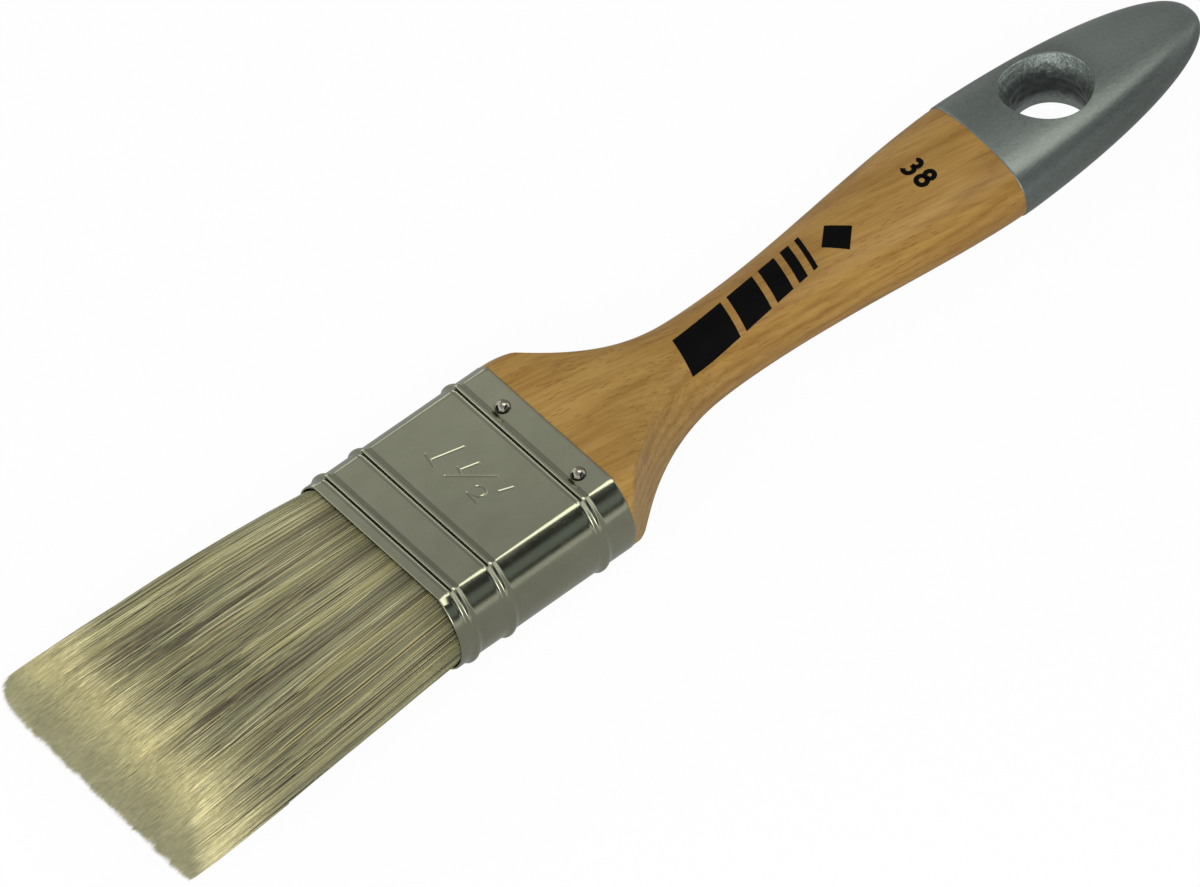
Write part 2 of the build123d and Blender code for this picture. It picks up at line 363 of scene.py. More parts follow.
class StageSizes(bpy.types.PropertyGroup):
    """Camera and lamps."""

    azimuth: turn_angle("Azimuth", "Of the camera", -34.03)
    elevation: turn_angle("Elevation", "Of the camera", 50.59)
    roll: turn_angle("Roll", "Of the camera", 7.26)
    distance: length("Distance", "From the camera to its aim", 3333)
    lens: FloatProperty(name="Lens", description="In millimetres", default=676.6, min=1)
    aim: FloatVectorProperty(
        name="Aim", description="From the middle of the mouth", default=(35.55 * MM, -9.38 * MM, 9.95 * MM)
    )


# ---------------------------------------------------------------- meshes


def placed(name, data):
    """A new object of the scene."""
    held = bpy.data.objects.new(name, data)
    bpy.context.scene.collection.objects.link(held)
    return held


def build(name, points, faces, material, smooth_angle=None, uv=None):
    """Make an object from an array of points and a list of face arrays, and ride it on the body.

    The signed volume, a sum of one tetrahedron for each triangle of a face, tells which way the faces point.
    """
    volume = 0
    for f in faces:
        for i in range(1, f.shape[1] - 1):
            volume += (np.cross(points[f[:, 0]], points[f[:, i]]) * points[f[:, i + 1]]).sum()
    faces = [f if volume > 0 else f[:, ::-1] for f in faces]
    mesh = bpy.data.meshes.new(name)
    counts = np.concatenate([np.full(len(f), f.shape[1]) for f in faces])
    corners = np.concatenate([f.ravel() for f in faces]).astype(np.int32)
    mesh.vertices.add(len(points))
    mesh.vertices.foreach_set("co", np.asarray(points, np.float32).ravel())
    mesh.loops.add(len(corners))
    mesh.loops.foreach_set("vertex_index", corners)
    mesh.polygons.add(len(counts))
    mesh.polygons.foreach_set("loop_start", np.concatenate([[0], np.cumsum(counts)[:-1]]).astype(np.int32))
    mesh.update(calc_edges=True)
    mesh.polygons.foreach_set("use_smooth", np.ones(len(counts), bool))
    if smooth_angle is not None:
        mesh.set_sharp_from_angle(angle=math.radians(smooth_angle))
    if uv is not None:
        layer = mesh.uv_layers.new(name="OFBake")
        layer.data.foreach_set("uv", np.asarray(uv, np.float32)[corners].ravel())
    mesh.validate()
    mesh.materials.append(material)
    piece = placed(name, mesh)
    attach(piece, BODY)
    return piece


def grid_faces(rows, columns, wrap_rows=False, wrap_columns=False):
    """Quads of a grid whose point (i, j) has the number i * columns + j."""
    i = np.arange(rows if wrap_rows else rows - 1)[:, None]
    j = np.arange(columns if wrap_columns else columns - 1)[None, :]
    down, across = (i + 1) % rows, (j + 1) % columns
    quads = (i * columns + j, i * columns + across, down * columns + across, down * columns + j)
    return np.stack([q.ravel() for q in quads], -1)


def fan_faces(ring, pole, flip=False):
    """Triangles from a closed ring of point numbers to one pole."""
    after = np.roll(ring, -1)
    tris = np.stack([ring, after, np.full(len(ring), pole)], -1)
    return tris[:, ::-1] if flip else tris


def ease(t):
    """0 to 1 with level ends: 3 t squared less 2 t cubed."""
    t = np.clip(t, 0, 1)
    return t * t * (3 - 2 * t)


def soft_min(a, b, width):
    """The lower of two values, with the corner between them rounded over a width."""
    return (a + b - np.sqrt((a - b) ** 2 + width**2)) / 2


def ripple(seed, count, lowest, highest):
    """A smooth random function of two coordinates: a sum of sines with random directions and phases.

    Its waves number a count, and their rates lie between the lowest and the highest, in radians a unit.
    """
    rng = np.random.default_rng(seed)
    size = rng.uniform(lowest, highest, count)
    way, phase = rng.uniform(0, 2 * np.pi, (2, count))

    def value(a, b):
        turn = np.multiply.outer(a, size * np.cos(way)) + np.multiply.outer(b, size * np.sin(way)) + phase
        return np.sin(turn).sum(-1) / math.sqrt(count)

    return value


def lifted(*parts):
    """Arrays of x, y and of height above the brush's axis as one array of points."""
    return np.stack(parts, -1) + np.array([0, 0, AXIS_Z])


# ---------------------------------------------------------------- materials


class Value:
    """A shader socket that takes part in arithmetic: each operation adds a Math node."""

    def __init__(self, shade, socket):
        self.shade, self.socket = shade, socket

    def __add__(self, other):
        return self.shade.math("ADD", self, other)

    def __sub__(self, other):
        return self.shade.math("SUBTRACT", self, other)

    def __rsub__(self, other):
        return self.shade.math("SUBTRACT", other, self)

    def __mul__(self, other):
        return self.shade.math("MULTIPLY", self, other)

    def __pow__(self, other):
        return self.shade.math("POWER", self, other)

    __radd__ = __add__
    __rmul__ = __mul__

    def clamp(self):
        """Kept between 0 and 1."""
        return self.shade.node("ShaderNodeClamp", {}, {"Value": self})

    def step(self, low, high):
        """0 below low, 1 above high and smooth between."""
        sockets = {"Value": self, "From Min": low, "From Max": high}
        return self.shade.node("ShaderNodeMapRange", {"interpolation_type": "SMOOTHSTEP"}, sockets)


class Shade:
    """A node material under construction."""

    def __init__(self, name):
        self.material = bpy.data.materials.new(name)
        self.material.use_nodes = True
        self.tree = self.material.node_tree
        self.tree.nodes.clear()

    def node(self, kind, settings, sockets, out=0):
        """Add a node: its settings first, then the values or links of its sockets."""
        made = self.tree.nodes.new(kind)
        for key, value in settings.items():
            if key == "stops":
                ramp = made.color_ramp.elements
                while len(ramp) < len(value):
                    ramp.new(1)
                for stop, (place, tint) in zip(ramp, value):
                    stop.position, stop.color = place, (*tint, 1)
            else:
                setattr(made, key, value)
        for key, value in sockets.items():
            socket = made.inputs[key]
            if isinstance(value, Value):
                self.tree.links.new(value.socket, socket)
            elif socket.type == "RGBA":
                socket.default_value = (*value, 1)
            else:
                socket.default_value = value
        return Value(self, made.outputs[out]) if made.outputs else None

    def math(self, operation, *values):
        """One Math node."""
        return self.node("ShaderNodeMath", {"operation": operation}, dict(enumerate(values)))

    def place(self, stretch=(1, 1, 1), lean=0.0):
        """Object coordinates in millimetres, turned about Z by a lean, each axis scaled by its stretch."""
        point = self.node("ShaderNodeTexCoord", {}, {}, "Object")
        if lean:
            sockets = {"Vector": point, "Rotation": (0, 0, math.radians(lean))}
            point = self.node("ShaderNodeMapping", {}, sockets)
        return self.product(point, tuple(s / MM for s in stretch))

    def noise(self, stretch, detail=2.0, roughness=0.5, lean=0.0):
        """Noise on Object coordinates, stretched along the axes, as a value about a half."""
        sockets = {"Vector": self.place(stretch, lean), "Scale": 1.0}
        return self.node("ShaderNodeTexNoise", {}, {**sockets, "Detail": detail, "Roughness": roughness})

    def cells(self, stretch, lean=0.0):
        """Distance to the nearest of many scattered spots on Object coordinates, stretched along the axes."""
        sockets = {"Vector": self.place(stretch, lean), "Scale": 1.0, "Randomness": 1.0}
        return self.node("ShaderNodeTexVoronoi", {"feature": "F1"}, sockets)

    def axis(self, name):
        """One Object coordinate in millimetres."""
        return self.node("ShaderNodeSeparateXYZ", {}, {0: self.place()}, name)

    def mix(self, factor, first, second):
        """A colour between two colours."""
        return self.node("ShaderNodeMix", {"data_type": "RGBA"}, {0: factor, 6: first, 7: second}, 2)

    def tint(self, base, factor):
        """A colour made lighter or darker by a value."""
        return self.node("ShaderNodeVectorMath", {"operation": "SCALE"}, {0: base, "Scale": factor})

    def product(self, first, second):
        """A colour or a place multiplied by another, part by part."""
        return self.node("ShaderNodeVectorMath", {"operation": "MULTIPLY"}, {0: first, 1: second})

    def bump(self, height, strength, distance):
        """A normal bent by a height, whose full range is a distance in metres."""
        return self.node("ShaderNodeBump", {}, {"Height": height, "Strength": strength, "Distance": distance})

    def surface(self, **sockets):
        """The Principled shader, wired to the output."""
        named = {key.replace("_", " "): value for key, value in sockets.items()}
        return self.output(self.node("ShaderNodeBsdfPrincipled", {}, named))

    def output(self, surface):
        """The finished material, with a shader wired to its output."""
        self.node("ShaderNodeOutputMaterial", {}, {"Surface": surface})
        return self.material


def beech_material(finish):
    """Varnished beech: growth rings cut by the shape, fine fibres and short dark ray flecks.

    The rings lie nearly flat, so their height and a slow wander number them: each ends dark and starts pale.
    Past the shoulder the wood is ruddier.
    """
    shade = Shade("varnished beech")
    drift = shade.noise((0.025, 0.10, 0.10), 2)
    wander = shade.noise((0.018, 0.07, 0.07), 2, lean=GRAIN_LEAN)
    rings = shade.axis("Z") * 0.42 + shade.axis("Y") * 0.035 + wander * 4.2
    late = (shade.math("PINGPONG", rings, 0.5) * 2) ** 1.6
    fibre = shade.noise((0.06, 2.4, 2.4), 3, 0.6, lean=GRAIN_LEAN)
    patch = shade.noise((0.10, 0.45, 0.45), 2, 0.6, lean=GRAIN_LEAN)
    tone = (late * 0.28 + drift * 0.50 + fibre * 0.60 + patch * 0.50).step(0.50, 1.30)
    wood = shade.mix(tone, finish.beech_pale, finish.beech_dark)
    rays = shade.cells((0.30, 3.0, 3.0), lean=GRAIN_LEAN)
    streaks = shade.noise((0.10, 1.5, 1.5), 2, 0.5, lean=GRAIN_LEAN)
    patchy = shade.noise((0.05, 0.30, 0.30), 1)
    mark = (1 - rays.step(0.13, 0.27)) * (0.30 + patchy.step(0.35, 0.62) * 0.70)
    wood = shade.mix(streaks.step(0.45, 0.80) * 0.38, wood, finish.fleck)
    wood = shade.mix(mark * 0.74, wood, finish.fleck)
    ruddy = shade.product(wood, (0.85, 0.80, 0.71))
    wood = shade.mix(shade.axis("X").step(-22, 14), wood, ruddy)
    gloss = 0.34 + fibre * 0.12
    relief = shade.bump(fibre * 0.6 - mark * 0.2, 0.25, 0.00006)
    return shade.surface(Base_Color=wood, Roughness=gloss, Normal=relief, Specular_IOR_Level=0.25)


def silver_material(finish, handle):
    """Dip paint: fine metal flake in a satin film, with the faint ridges of the wood below.

    The coat is lightened by the wood and on the far half of the nose as painted highlight and painted light.
    It is lumpy in the hang hole, darkened deep in the bore as painted shade and lightened in lumps towards
    the rims as painted highlight. The flare is an ellipse: outside it the squares of both shares of the way
    to its edge sum to more than 1.
    """
    shade = Shade("silver dip paint")
    x, y = shade.axis("X"), shade.axis("Y")
    flake = shade.noise((7, 7, 7), 2, 0.7)
    cloud = shade.noise((0.06, 0.12, 0.12), 2)
    ridge = shade.noise((0.16, 1.9, 1.9), 3, 0.65)
    speck = shade.noise((1.6, 2.6, 2.6), 2, 0.7)
    lumps = shade.noise((1.3, 1.3, 1.3), 3, 0.6)
    # painted highlight: the paint is lightened towards the wood, where the coat ends
    thick = 1 - x.step(66, 84)
    # painted light: the far half of the nose is lightened
    far = y.step(-5, 1) * x.step(82, 90)
    aside, over = x - (HANG_X + FLARE_SHIFT[0]) / MM, y - FLARE_SHIFT[1] / MM
    bore = HANG_RADIUS - handle.dip_thickness
    long_half = (bore + handle.rim_flare * (1 + FLARE_LONG)) / MM
    short_half = (bore + handle.rim_flare * (1 - FLARE_LONG)) / MM
    long_way = (aside * math.cos(FLARE_TURN) + over * math.sin(FLARE_TURN)) * (1 / long_half)
    short_way = (over * math.cos(FLARE_TURN) - aside * math.sin(FLARE_TURN)) * (1 / short_half)
    hollow = 1 - (long_way * long_way + short_way * short_way).step(0.95, 1.0)
    # painted shade and highlight in the hang hole: the wall darkens deep in the bore and lightens in lumps by
    # its rims
    level = shade.math("ABSOLUTE", shade.axis("Z") - AXIS_Z / MM)
    raised = (level + (lumps - 0.5) * 1.6).step(1.0, 4.2)
    inside = 0.34 + raised * (0.66 + lumps * 1.50)
    # bright holds flake, cloud, ridges and specks, with the painted highlights by the wood and on the far
    # nose
    bright = 0.22 + flake * 0.36 + cloud * 0.32 + ridge * 0.16 + speck * 0.64 + thick * 0.16 + far * 0.56
    paint = shade.tint(finish.silver, bright * (1 + hollow * (inside - 1)))
    rough = ridge * 0.4 + flake * 0.25 + speck * 0.35 + hollow * lumps * raised * 4.0
    relief = shade.bump(rough, 0.6, 0.0001)
    return shade.surface(Base_Color=paint, Metallic=0.80, Roughness=0.30 + flake * 0.12, Normal=relief)


def steel_material(finish):
    """Bright rolled sheet: faint rolling lines along the brush, small scuffs and a soft mottle."""
    shade = Shade("rolled sheet steel")
    lines = shade.noise((0.25, 7, 7), 2, 0.6)
    mottle = shade.noise((0.22, 0.3, 0.3), 3, 0.6)
    scuff = shade.noise((0.5, 2.4, 2.4), 1, 0.4).step(0.70, 0.76)
    # painted light: the sheet is lightened towards +Y, its far side, and towards the handle
    cast = shade.axis("Y").step(-16, 14) * 0.16 + (shade.axis("X") - MOUTH / MM).step(12, 30) * 0.06
    mottle_scuff_and_painted_light = 0.78 + cast + mottle * 0.20 - scuff * 0.06
    metal = shade.tint(finish.steel, mottle_scuff_and_painted_light)
    gloss = 0.12 + mottle * 0.08 + lines * 0.04 + scuff * 0.06
    relief = shade.bump(mottle, 0.12, 0.00004)
    return shade.surface(Base_Color=metal, Metallic=1.0, Roughness=gloss, Normal=relief)


def nail_material(finish, face):
    """Polished nickel with a little tarnish, and painted shade where the head meets the sheet."""
    shade = Shade("polished nickel")
    tarnish = shade.noise((1.6, 1.6, 1.6), 2)
    proud = shade.math("ABSOLUTE", shade.axis("Z") - AXIS_Z / MM) - face / MM
    # painted shade: the head darkens nearly to black where it meets the sheet
    metal = shade.tint(finish.nickel, (0.85 + tarnish * 0.25) * (0.06 + proud.step(0.10, 0.55) * 0.94))
    return shade.surface(Base_Color=metal, Metallic=1.0, Roughness=0.03 + tarnish * 0.05)


def ink_material(finish):
    """Printed ink: flat black, a little uneven at its edges."""
    shade = Shade("printed ink")
    wear = shade.noise((0.6, 3, 3), 2)
    film = shade.tint(finish.ink, 0.7 + wear * 0.9)
    return shade.surface(Base_Color=film, Roughness=0.45 + wear * 0.1, Specular_IOR_Level=0.02)


def filament_material(finish):
    """Filaments: each reads its tone across the UV map and its place along its length down it.

    Fine stripes run down each. Past two thirds of its length it takes on the grainy colour of flagged tips,
    and at its very end that of cream. Just before its end it is lightened, and at its very end darkened, as
    painted light and shade.
    """
    shade = Shade("synthetic filament")
    spot = shade.node("ShaderNodeUVMap", {"uv_map": "OFBake"}, {})
    across = shade.node("ShaderNodeSeparateXYZ", {}, {0: spot}, "X")
    along = shade.node("ShaderNodeSeparateXYZ", {}, {0: spot}, "Y")
    dark, pale_tones = finish.umber, ((0.44, finish.sage), (0.64, finish.straw), (0.82, finish.cream))
    tone = shade.node("ShaderNodeValToRGB", {"stops": [(0.14, dark), (0.28, dark), *pale_tones]}, {0: across})
    sockets = {"Vector": shade.product(spot, (190, 6, 1)), "Scale": 1.0, "Detail": 2.0}
    stripe = shade.node("ShaderNodeTexNoise", {"noise_dimensions": "2D"}, sockets)
    tone = shade.tint(tone, 0.42 + stripe * 1.16)
    pale = (along + stripe * 0.34 + across * 0.10 - 0.22).step(0.66, 0.88)
    furry = (along + stripe * 0.20).step(1.00, 1.10)
    grain = shade.noise((0.7, 1.9, 1.9), 3, 0.75)
    # painted light and shade: lightened just before the tips and darkened at their very ends
    facing = along.step(0.80, 0.90) * 0.10 - along.step(0.90, 1.0) * 0.26
    tip = shade.mix(furry, finish.flag, finish.cream)
    tuft = (0.34 + grain * 1.32 + facing) * (0.14 + stripe * 1.08 + across * 0.62)
    tone = shade.mix(pale, tone, shade.tint(tip, tuft))
    return shade.surface(Base_Color=tone, Roughness=0.45, Specular_IOR_Level=0.3)


def core_material(finish):
    """The shade between the filaments."""
    shade = Shade("filament shade")
    streak = shade.noise((0.05, 3, 3), 2)
    tone = shade.tint(shade.mix(streak, finish.umber, finish.sage), 0.5)
    return shade.surface(Base_Color=tone, Roughness=0.8)


def plain_material(name, base, low, high, roughness):
    """A hidden piece's material: one colour, clouded between two strengths."""
    shade = Shade(name)
    cloud = shade.noise((0.2, 1, 1), 2)
    return shade.surface(Base_Color=shade.tint(base, low + cloud * (high - low)), Roughness=roughness)


# ---------------------------------------------------------------- outlines


def side_arc(sizes, inset):
    """Centre and radius of the ferrule's narrow-side arc, moved inwards by the inset."""
    radius = (sizes.thickness**2 / 4 + sizes.bulge**2) / (2 * sizes.bulge)
    return sizes.width / 2 - radius, radius - inset


def sleeve_reach(sizes, y, z, inset):
    """How far the sleeve's outline stands from the axis in the direction of (y, z)."""
    centre, radius = side_arc(sizes, inset)
    half = sizes.thickness / 2 - inset
    size = np.hypot(y, z) + 1e-12
    flat, up = np.abs(y) / size, np.maximum(np.abs(z) / size, 1e-6)
    arc = centre * flat + np.sqrt(radius**2 - (centre * up) ** 2)
    return np.where(flat * half / up > centre + math.sqrt(radius**2 - half**2), arc, half / up)


def nose_share(sizes, distance, reach):
    """The share of its size that the handle keeps: 1 until the nose, 0 at its end, on a blunt oval."""
    part = np.clip((distance - reach + sizes.nose_length) / sizes.nose_length, 0, 1)
    return (1 - part**2) ** (1 / sizes.nose_power)


def handle_oval(sizes, distance, turn, reach, skin=0.0):
    """Y and Z of the handle: four cubic curves round the axis, with turn from 0 to 4 across them.

    The shoulder's width falls with a power of the way to the neck, then both sizes ease out to the belly
    and the nose closes them. The curves are a creased rectangle at the shoulder and a smooth oval beyond.
    """
    shoulder = sizes.shoulder_half_width - sizes.neck_half_width
    swell = ease((distance - sizes.neck_distance) / (sizes.belly_distance - sizes.neck_distance))
    fall = 1 - ease(distance / sizes.neck_distance)
    drop = np.clip(1 - distance / sizes.neck_distance, 0, 1) ** sizes.shoulder_power
    wide = sizes.neck_half_width + shoulder * drop + (sizes.belly_half_width - sizes.neck_half_width) * swell
    thick = sizes.neck_half_thickness + (sizes.shoulder_half_thickness - sizes.neck_half_thickness) * fall
    thick = thick + (sizes.belly_half_thickness - sizes.neck_half_thickness) * swell
    closing = nose_share(sizes, distance, reach)
    wide, thick = wide * closing + skin, thick * closing + skin
    crease = 1 - ease(distance / sizes.crease_end)
    full = sizes.fullness + (1 - sizes.fullness) * crease
    bulge = (1 - full) / CUBIC_MIDDLE
    inner = crease * ELLIPSE_REACH + (1 - crease) * bulge
    quarter = np.floor(turn).astype(int) % 4
    t = turn - np.floor(turn)
    ends, middle = (1 - t) ** 3, 3 * (1 - t) ** 2 * t
    ends_after, middle_after = t**3, 3 * (1 - t) * t**2
    run = full * (ends_after - ends) + (full - inner) * (middle_after - middle)
    rise = full * (ends + ends_after) + (full + bulge) * (middle + middle_after)
    sign = np.where(quarter >= 2, -1, 1)
    flat = quarter % 2 == 0
    y = sign * wide * np.where(flat, run, rise)
    z = sign * thick * np.where(flat, rise, -run)
    return y, z


def face_height(sizes, distance, y, reach, skin=0.0):
    """Height of the handle's front face above its axis at a distance and a y, found by halving."""
    low, high = np.zeros_like(y), np.ones_like(y)
    for _ in range(HALVINGS):
        middle = (low + high) / 2
        found = handle_oval(sizes, distance, middle * NEAR_CORNER, reach, skin)[0]
        low, high = np.where(found < y, middle, low), np.where(found < y, high, middle)
    return handle_oval(sizes, distance, low * NEAR_CORNER, reach, skin)[1]


# ---------------------------------------------------------------- handle


def wood_reach(handle):
    """How far the wood goes past the ferrule's end: the paint takes up the rest."""
    return cad_high.x - handle.dip_thickness - SHOULDER


def nose_distances(handle, count):
    """Distances of the rows down the nose: a quarter of a sine wave, so they crowd at its end."""
    bend = np.concatenate([np.linspace(0, NOSE_TURNS[0], count)[1:], NOSE_TURNS[1:]])
    return wood_reach(handle) - handle.nose_length + handle.nose_length * np.sin(bend)


def askew(distance):
    """Sideways set of the axis: a little one way at the shoulder, and the other way from the belly on."""
    rise, fall = SHOULDER_SET_WAY
    start, way = BLADE_SET_WAY
    shoulder = ease(distance / rise) * (1 - ease((distance - rise) / fall))
    return BLADE_SET * ease((distance - start) / way) - SHOULDER_SET * shoulder


def handle_ring(handle, ferrule, distance, turn, reach, skin):
    """One oval of the handle, kept inside the sleeve's outline near the ferrule with a softened edge."""
    y, z = handle_oval(handle, distance, turn, reach, skin)
    size = np.hypot(y, z)
    limit = sleeve_reach(ferrule, y, z, FLUSH) + np.maximum(distance - FLUSH_REACH, 0) * FLUSH_SLOPE
    kept = soft_min(size, limit, EDGE_SOFTNESS) / np.maximum(size, 1e-9)
    return y * kept + askew(distance), z * kept


def bored(handle, grid, quads, skin, radius):
    """The quads left by the hang hole, with those of its walls, and the points of its walls.

    Round the hole a block of cells is left out of the front and of the back. Rows run from the block's edge
    to the hole's rim at the height of the face, then in over the flare and down the wall. The flare is sanded
    wider one way than the other and a little off the bore's middle. Over it the radius falls with a power of
    what is left of the way, and the height with a power of the way.
    """
    rows, columns = grid.shape[:2]
    block = radius + handle.rim_flare + HOLE_MARGIN
    inside = (np.abs(grid[:, TURNS // 2, 0] - HANG_X) < block).nonzero()[0]
    across = (np.abs(grid[inside[len(inside) // 2], : TURNS + 1, 1]) < block).nonzero()[0]
    low_i, high_i, low_j, high_j = inside[0], inside[-1], across[0], across[-1]
    i, j = quads[:, 0] // columns, quads[:, 0] % columns
    in_rows = (i >= low_i) & (i < high_i)
    front, back = (j >= low_j) & (j < high_j), (j >= 3 * TURNS - high_j) & (j < 3 * TURNS - low_j)
    along, over = np.arange(low_i, high_i), np.arange(low_j, high_j)
    ahead, beside = np.ones_like(along), np.ones_like(over)
    loop_i = np.concatenate([along, beside * high_i, along[::-1] + 1, beside * low_i])
    loop_j = np.concatenate([ahead * low_j, over, ahead * high_j, over[::-1] + 1])
    edge = grid[loop_i, loop_j]
    angle = np.arctan2(edge[:, 1], edge[:, 0] - HANG_X)
    circle = np.stack([np.cos(angle), np.sin(angle)], -1)
    uneven = handle.rim_flare * (1 + FLARE_LONG * np.cos(2 * (angle - FLARE_TURN)))
    opened = uneven[:, None] * circle + FLARE_SHIFT
    bore = np.array([HANG_X, 0]) + radius * circle
    fade = np.linspace(0, 1, PATCH_ROWS + 1)[1:, None, None]
    way_in = np.linspace(0, 1, RIM_ROWS + 1)[1:, None] ** RIM_CROWDING

    def face_rows(widened):
        flat = edge[:, :2] * (1 - fade) + (bore + widened) * fade
        rim = bore + ((1 - way_in) ** FLARE_POWER)[..., None] * widened
        plan = np.concatenate([flat, rim])
        away = plan[..., 0] - SHOULDER
        aside = np.abs(plan[..., 1] - askew(away))
        height = face_height(handle, away, aside, wood_reach(handle), skin)
        height[PATCH_ROWS:] -= handle.rim_depth * way_in**DROP_POWER
        return np.concatenate([plan, height[..., None]], -1)

    top, under = face_rows(opened), face_rows(opened * BACK_FLARE) * np.array([1, 1, -1])
    wall = np.linspace(0, 1, WALL_ROWS + 1)[1:-1, None, None]
    sheet = np.concatenate([top, top[-1] + (under[-1] - top[-1]) * wall, under[::-1]])
    sheet = sheet + np.array([0, 0, AXIS_Z])
    one_side = np.concatenate([np.zeros(PATCH_ROWS), np.minimum(way_in[:, 0] * 2, 1)])
    rough = np.concatenate([one_side, np.ones(WALL_ROWS - 1), one_side[::-1]])[:, None]
    lump = ripple(*BORE_WAVES)(np.broadcast_to(angle * radius, sheet.shape[:2]), sheet[..., 2])
    sheet[..., :2] += (rough * lump * BORE_LUMP)[..., None] * circle
    numbers = rows * columns + np.arange(len(sheet) * len(edge)).reshape(-1, len(edge))
    first, last = loop_i * columns + loop_j, loop_i * columns + (3 * TURNS - loop_j) % columns
    numbers = np.concatenate([[first], numbers, [last]])
    after = np.roll(numbers, -1, 1)
    cells = [c.ravel() for c in (numbers[:-1], numbers[1:], after[1:], after[:-1])]
    return np.concatenate([quads[~(in_rows & (front | back))], np.stack(cells, -1)]), sheet.reshape(-1, 3)


def blade(handle, ferrule, distances, skin, radius, first_rings=None):
    """The handle's surface as a closed mesh: a grid of distance and turn, pierced by the hang hole."""
    reach = wood_reach(handle)
    d, t = np.meshgrid(distances, np.arange(4 * TURNS) / TURNS, indexing="ij")
    y, z = handle_ring(handle, ferrule, d, t, reach, skin)
    grid = lifted(d + skin * (1 - nose_share(handle, d, reach)) + SHOULDER, y, z)
    if first_rings is not None:
        grid = np.concatenate([first_rings(grid[0]), grid])
    rows, columns = grid.shape[:2]
    quads, sheet = bored(handle, grid, grid_faces(rows, columns, wrap_columns=True), skin, radius)
    end = [SHOULDER + reach + skin, askew(reach), AXIS_Z]
    points = [grid.reshape(-1, 3), sheet, [end], [grid[0].mean(0)]]
    count = rows * columns + len(sheet)
    nose = fan_faces((rows - 1) * columns + np.arange(columns), count)
    root = fan_faces(np.arange(columns), count + 1, flip=True)
    return np.concatenate(points), quads, nose, root, columns


# ---------------------------------------------------------------- ferrule


def ferrule_ring(ferrule, corner):
    """The sleeve's outline inset by a corner radius, with its outward normals, once round from the front.

    A point of the sheet is the base point moved out along its normal by the corner radius and the lift.
    """
    half = ferrule.thickness / 2
    centre, radius = side_arc(ferrule, corner)
    knee = centre + math.sqrt(radius**2 - (half - corner) ** 2)
    lean = math.asin((half - corner) / radius)
    front = np.concatenate([np.arange(0, STAMP_REACH, STAMP_STEP), np.linspace(STAMP_REACH, knee, 16)[:-1]])
    turns = np.concatenate([np.linspace(np.pi / 2, lean, 13)[:-1], np.linspace(lean, 0, 25)])
    level, up = np.zeros_like(front), np.ones_like(front)
    rounded = turns > lean
    y = np.concatenate([front, np.where(rounded, knee, centre + radius * np.cos(turns))])
    z = np.concatenate([up * (half - corner), np.where(rounded, half - corner, radius * np.sin(turns))])
    normal_y, normal_z = np.concatenate([level, np.cos(turns)]), np.concatenate([up, np.sin(turns)])
    base, normal = np.stack([y, z], -1), np.stack([normal_y, normal_z], -1)
    plain = np.linspace(0, knee, BACK_STEPS, endpoint=False)
    side_base, side_normal = base[len(front) :], normal[len(front) :]
    down = np.array([1, -1])
    level = np.zeros(BACK_STEPS)
    base_back = np.concatenate([np.stack([plain, level + half - corner], -1), side_base]) * down
    normal_back = np.concatenate([np.stack([level, level + 1], -1), side_normal]) * down
    right = np.concatenate([base, base_back[-2::-1]])
    right_normal = np.concatenate([normal, normal_back[-2::-1]])
    mirror = np.array([-1, 1])
    base = np.concatenate([right, right[-2:0:-1] * mirror])
    normal = np.concatenate([right_normal, right_normal[-2:0:-1] * mirror])
    return base, normal


def bead_lift(ferrule, x):
    """Height of the beads at a distance from the mouth: steep towards the mouth, easing down behind."""
    lift = np.zeros_like(x)
    for place in ferrule.bead_places:
        u = (x - place) / ferrule.bead_width
        rise = ease((u - BEAD_RISE[0]) / BEAD_RISE[1]) * (1 - ease((u - BEAD_FALL[0]) / BEAD_FALL[1]))
        groove = np.exp(-(((u - GROOVE_SPOT[0]) / GROOVE_SPOT[1]) ** 2))
        lift += ferrule.bead_height * rise - GROOVE * groove
    return lift


def corner_share(ferrule, x):
    """How soft the corners are at a distance from the mouth: more along each panel up to the next bead."""
    share_soft = np.zeros_like(x)
    edges = [0, *ferrule.bead_places, SHOULDER - MOUTH]
    for start, end in zip(edges[:-1], edges[1:]):
        along = np.clip((x - start) / (end - start), 0, 1)
        closing = ease((end - x) / (0.5 * ferrule.bead_width)) if end < edges[-1] else 1
        share_soft += np.where((x >= start) & (x <= end), along * closing, 0)
    return share_soft


def stamp_strokes(ferrule):
    """Centre lines of the stamped size, one and a half, each as points of distance from the mouth and y."""
    middle = ferrule.stamp_place
    turn = np.linspace(2.9, -0.9, 12)
    top = np.stack([-2.9 - 1.05 * np.cos(turn), -0.95 + 0.95 * np.sin(turn)], -1)[:, ::-1]
    two = np.concatenate([top, [(-2.45, -1.8)], [(-2.6, -4.2)]])
    lines = [
        [(2.85, 5.2), (-2.6, 6.7)],
        [(-2.9, 5.5), (-2.3, 8.1)],
        [(2.5, 1.3), (-0.5, 2.2)],
        [(-0.8, 1.6), (-0.4, 2.9)],
        [(-2.85, 2.9), (2.8, -2.5)],
        two,
        [(3.3, -5.8), (1.1, -4.9)],
    ]
    return [np.array(line) * MM + np.array([middle, 0]) for line in lines]


def stamp_lift(ferrule, x, y):
    """Depth of the stamp: a rounded valley along each stroke, with a low lip pushed up on both sides."""
    away = np.full(x.shape, 1.0)
    for line in stamp_strokes(ferrule):
        for start, end in zip(line[:-1], line[1:]):
            run = end - start
            ahead, over = x - start[0], y - start[1]
            part = np.clip((ahead * run[0] + over * run[1]) / (run @ run), 0, 1)
            away = np.minimum(away, np.hypot(ahead - part * run[0], over - part * run[1]))
    away = away / ferrule.stamp_stroke
    return ferrule.stamp_depth * (0.08 * np.exp(-((away - 1.9) ** 2) / 0.4) - np.exp(-(away**2)))


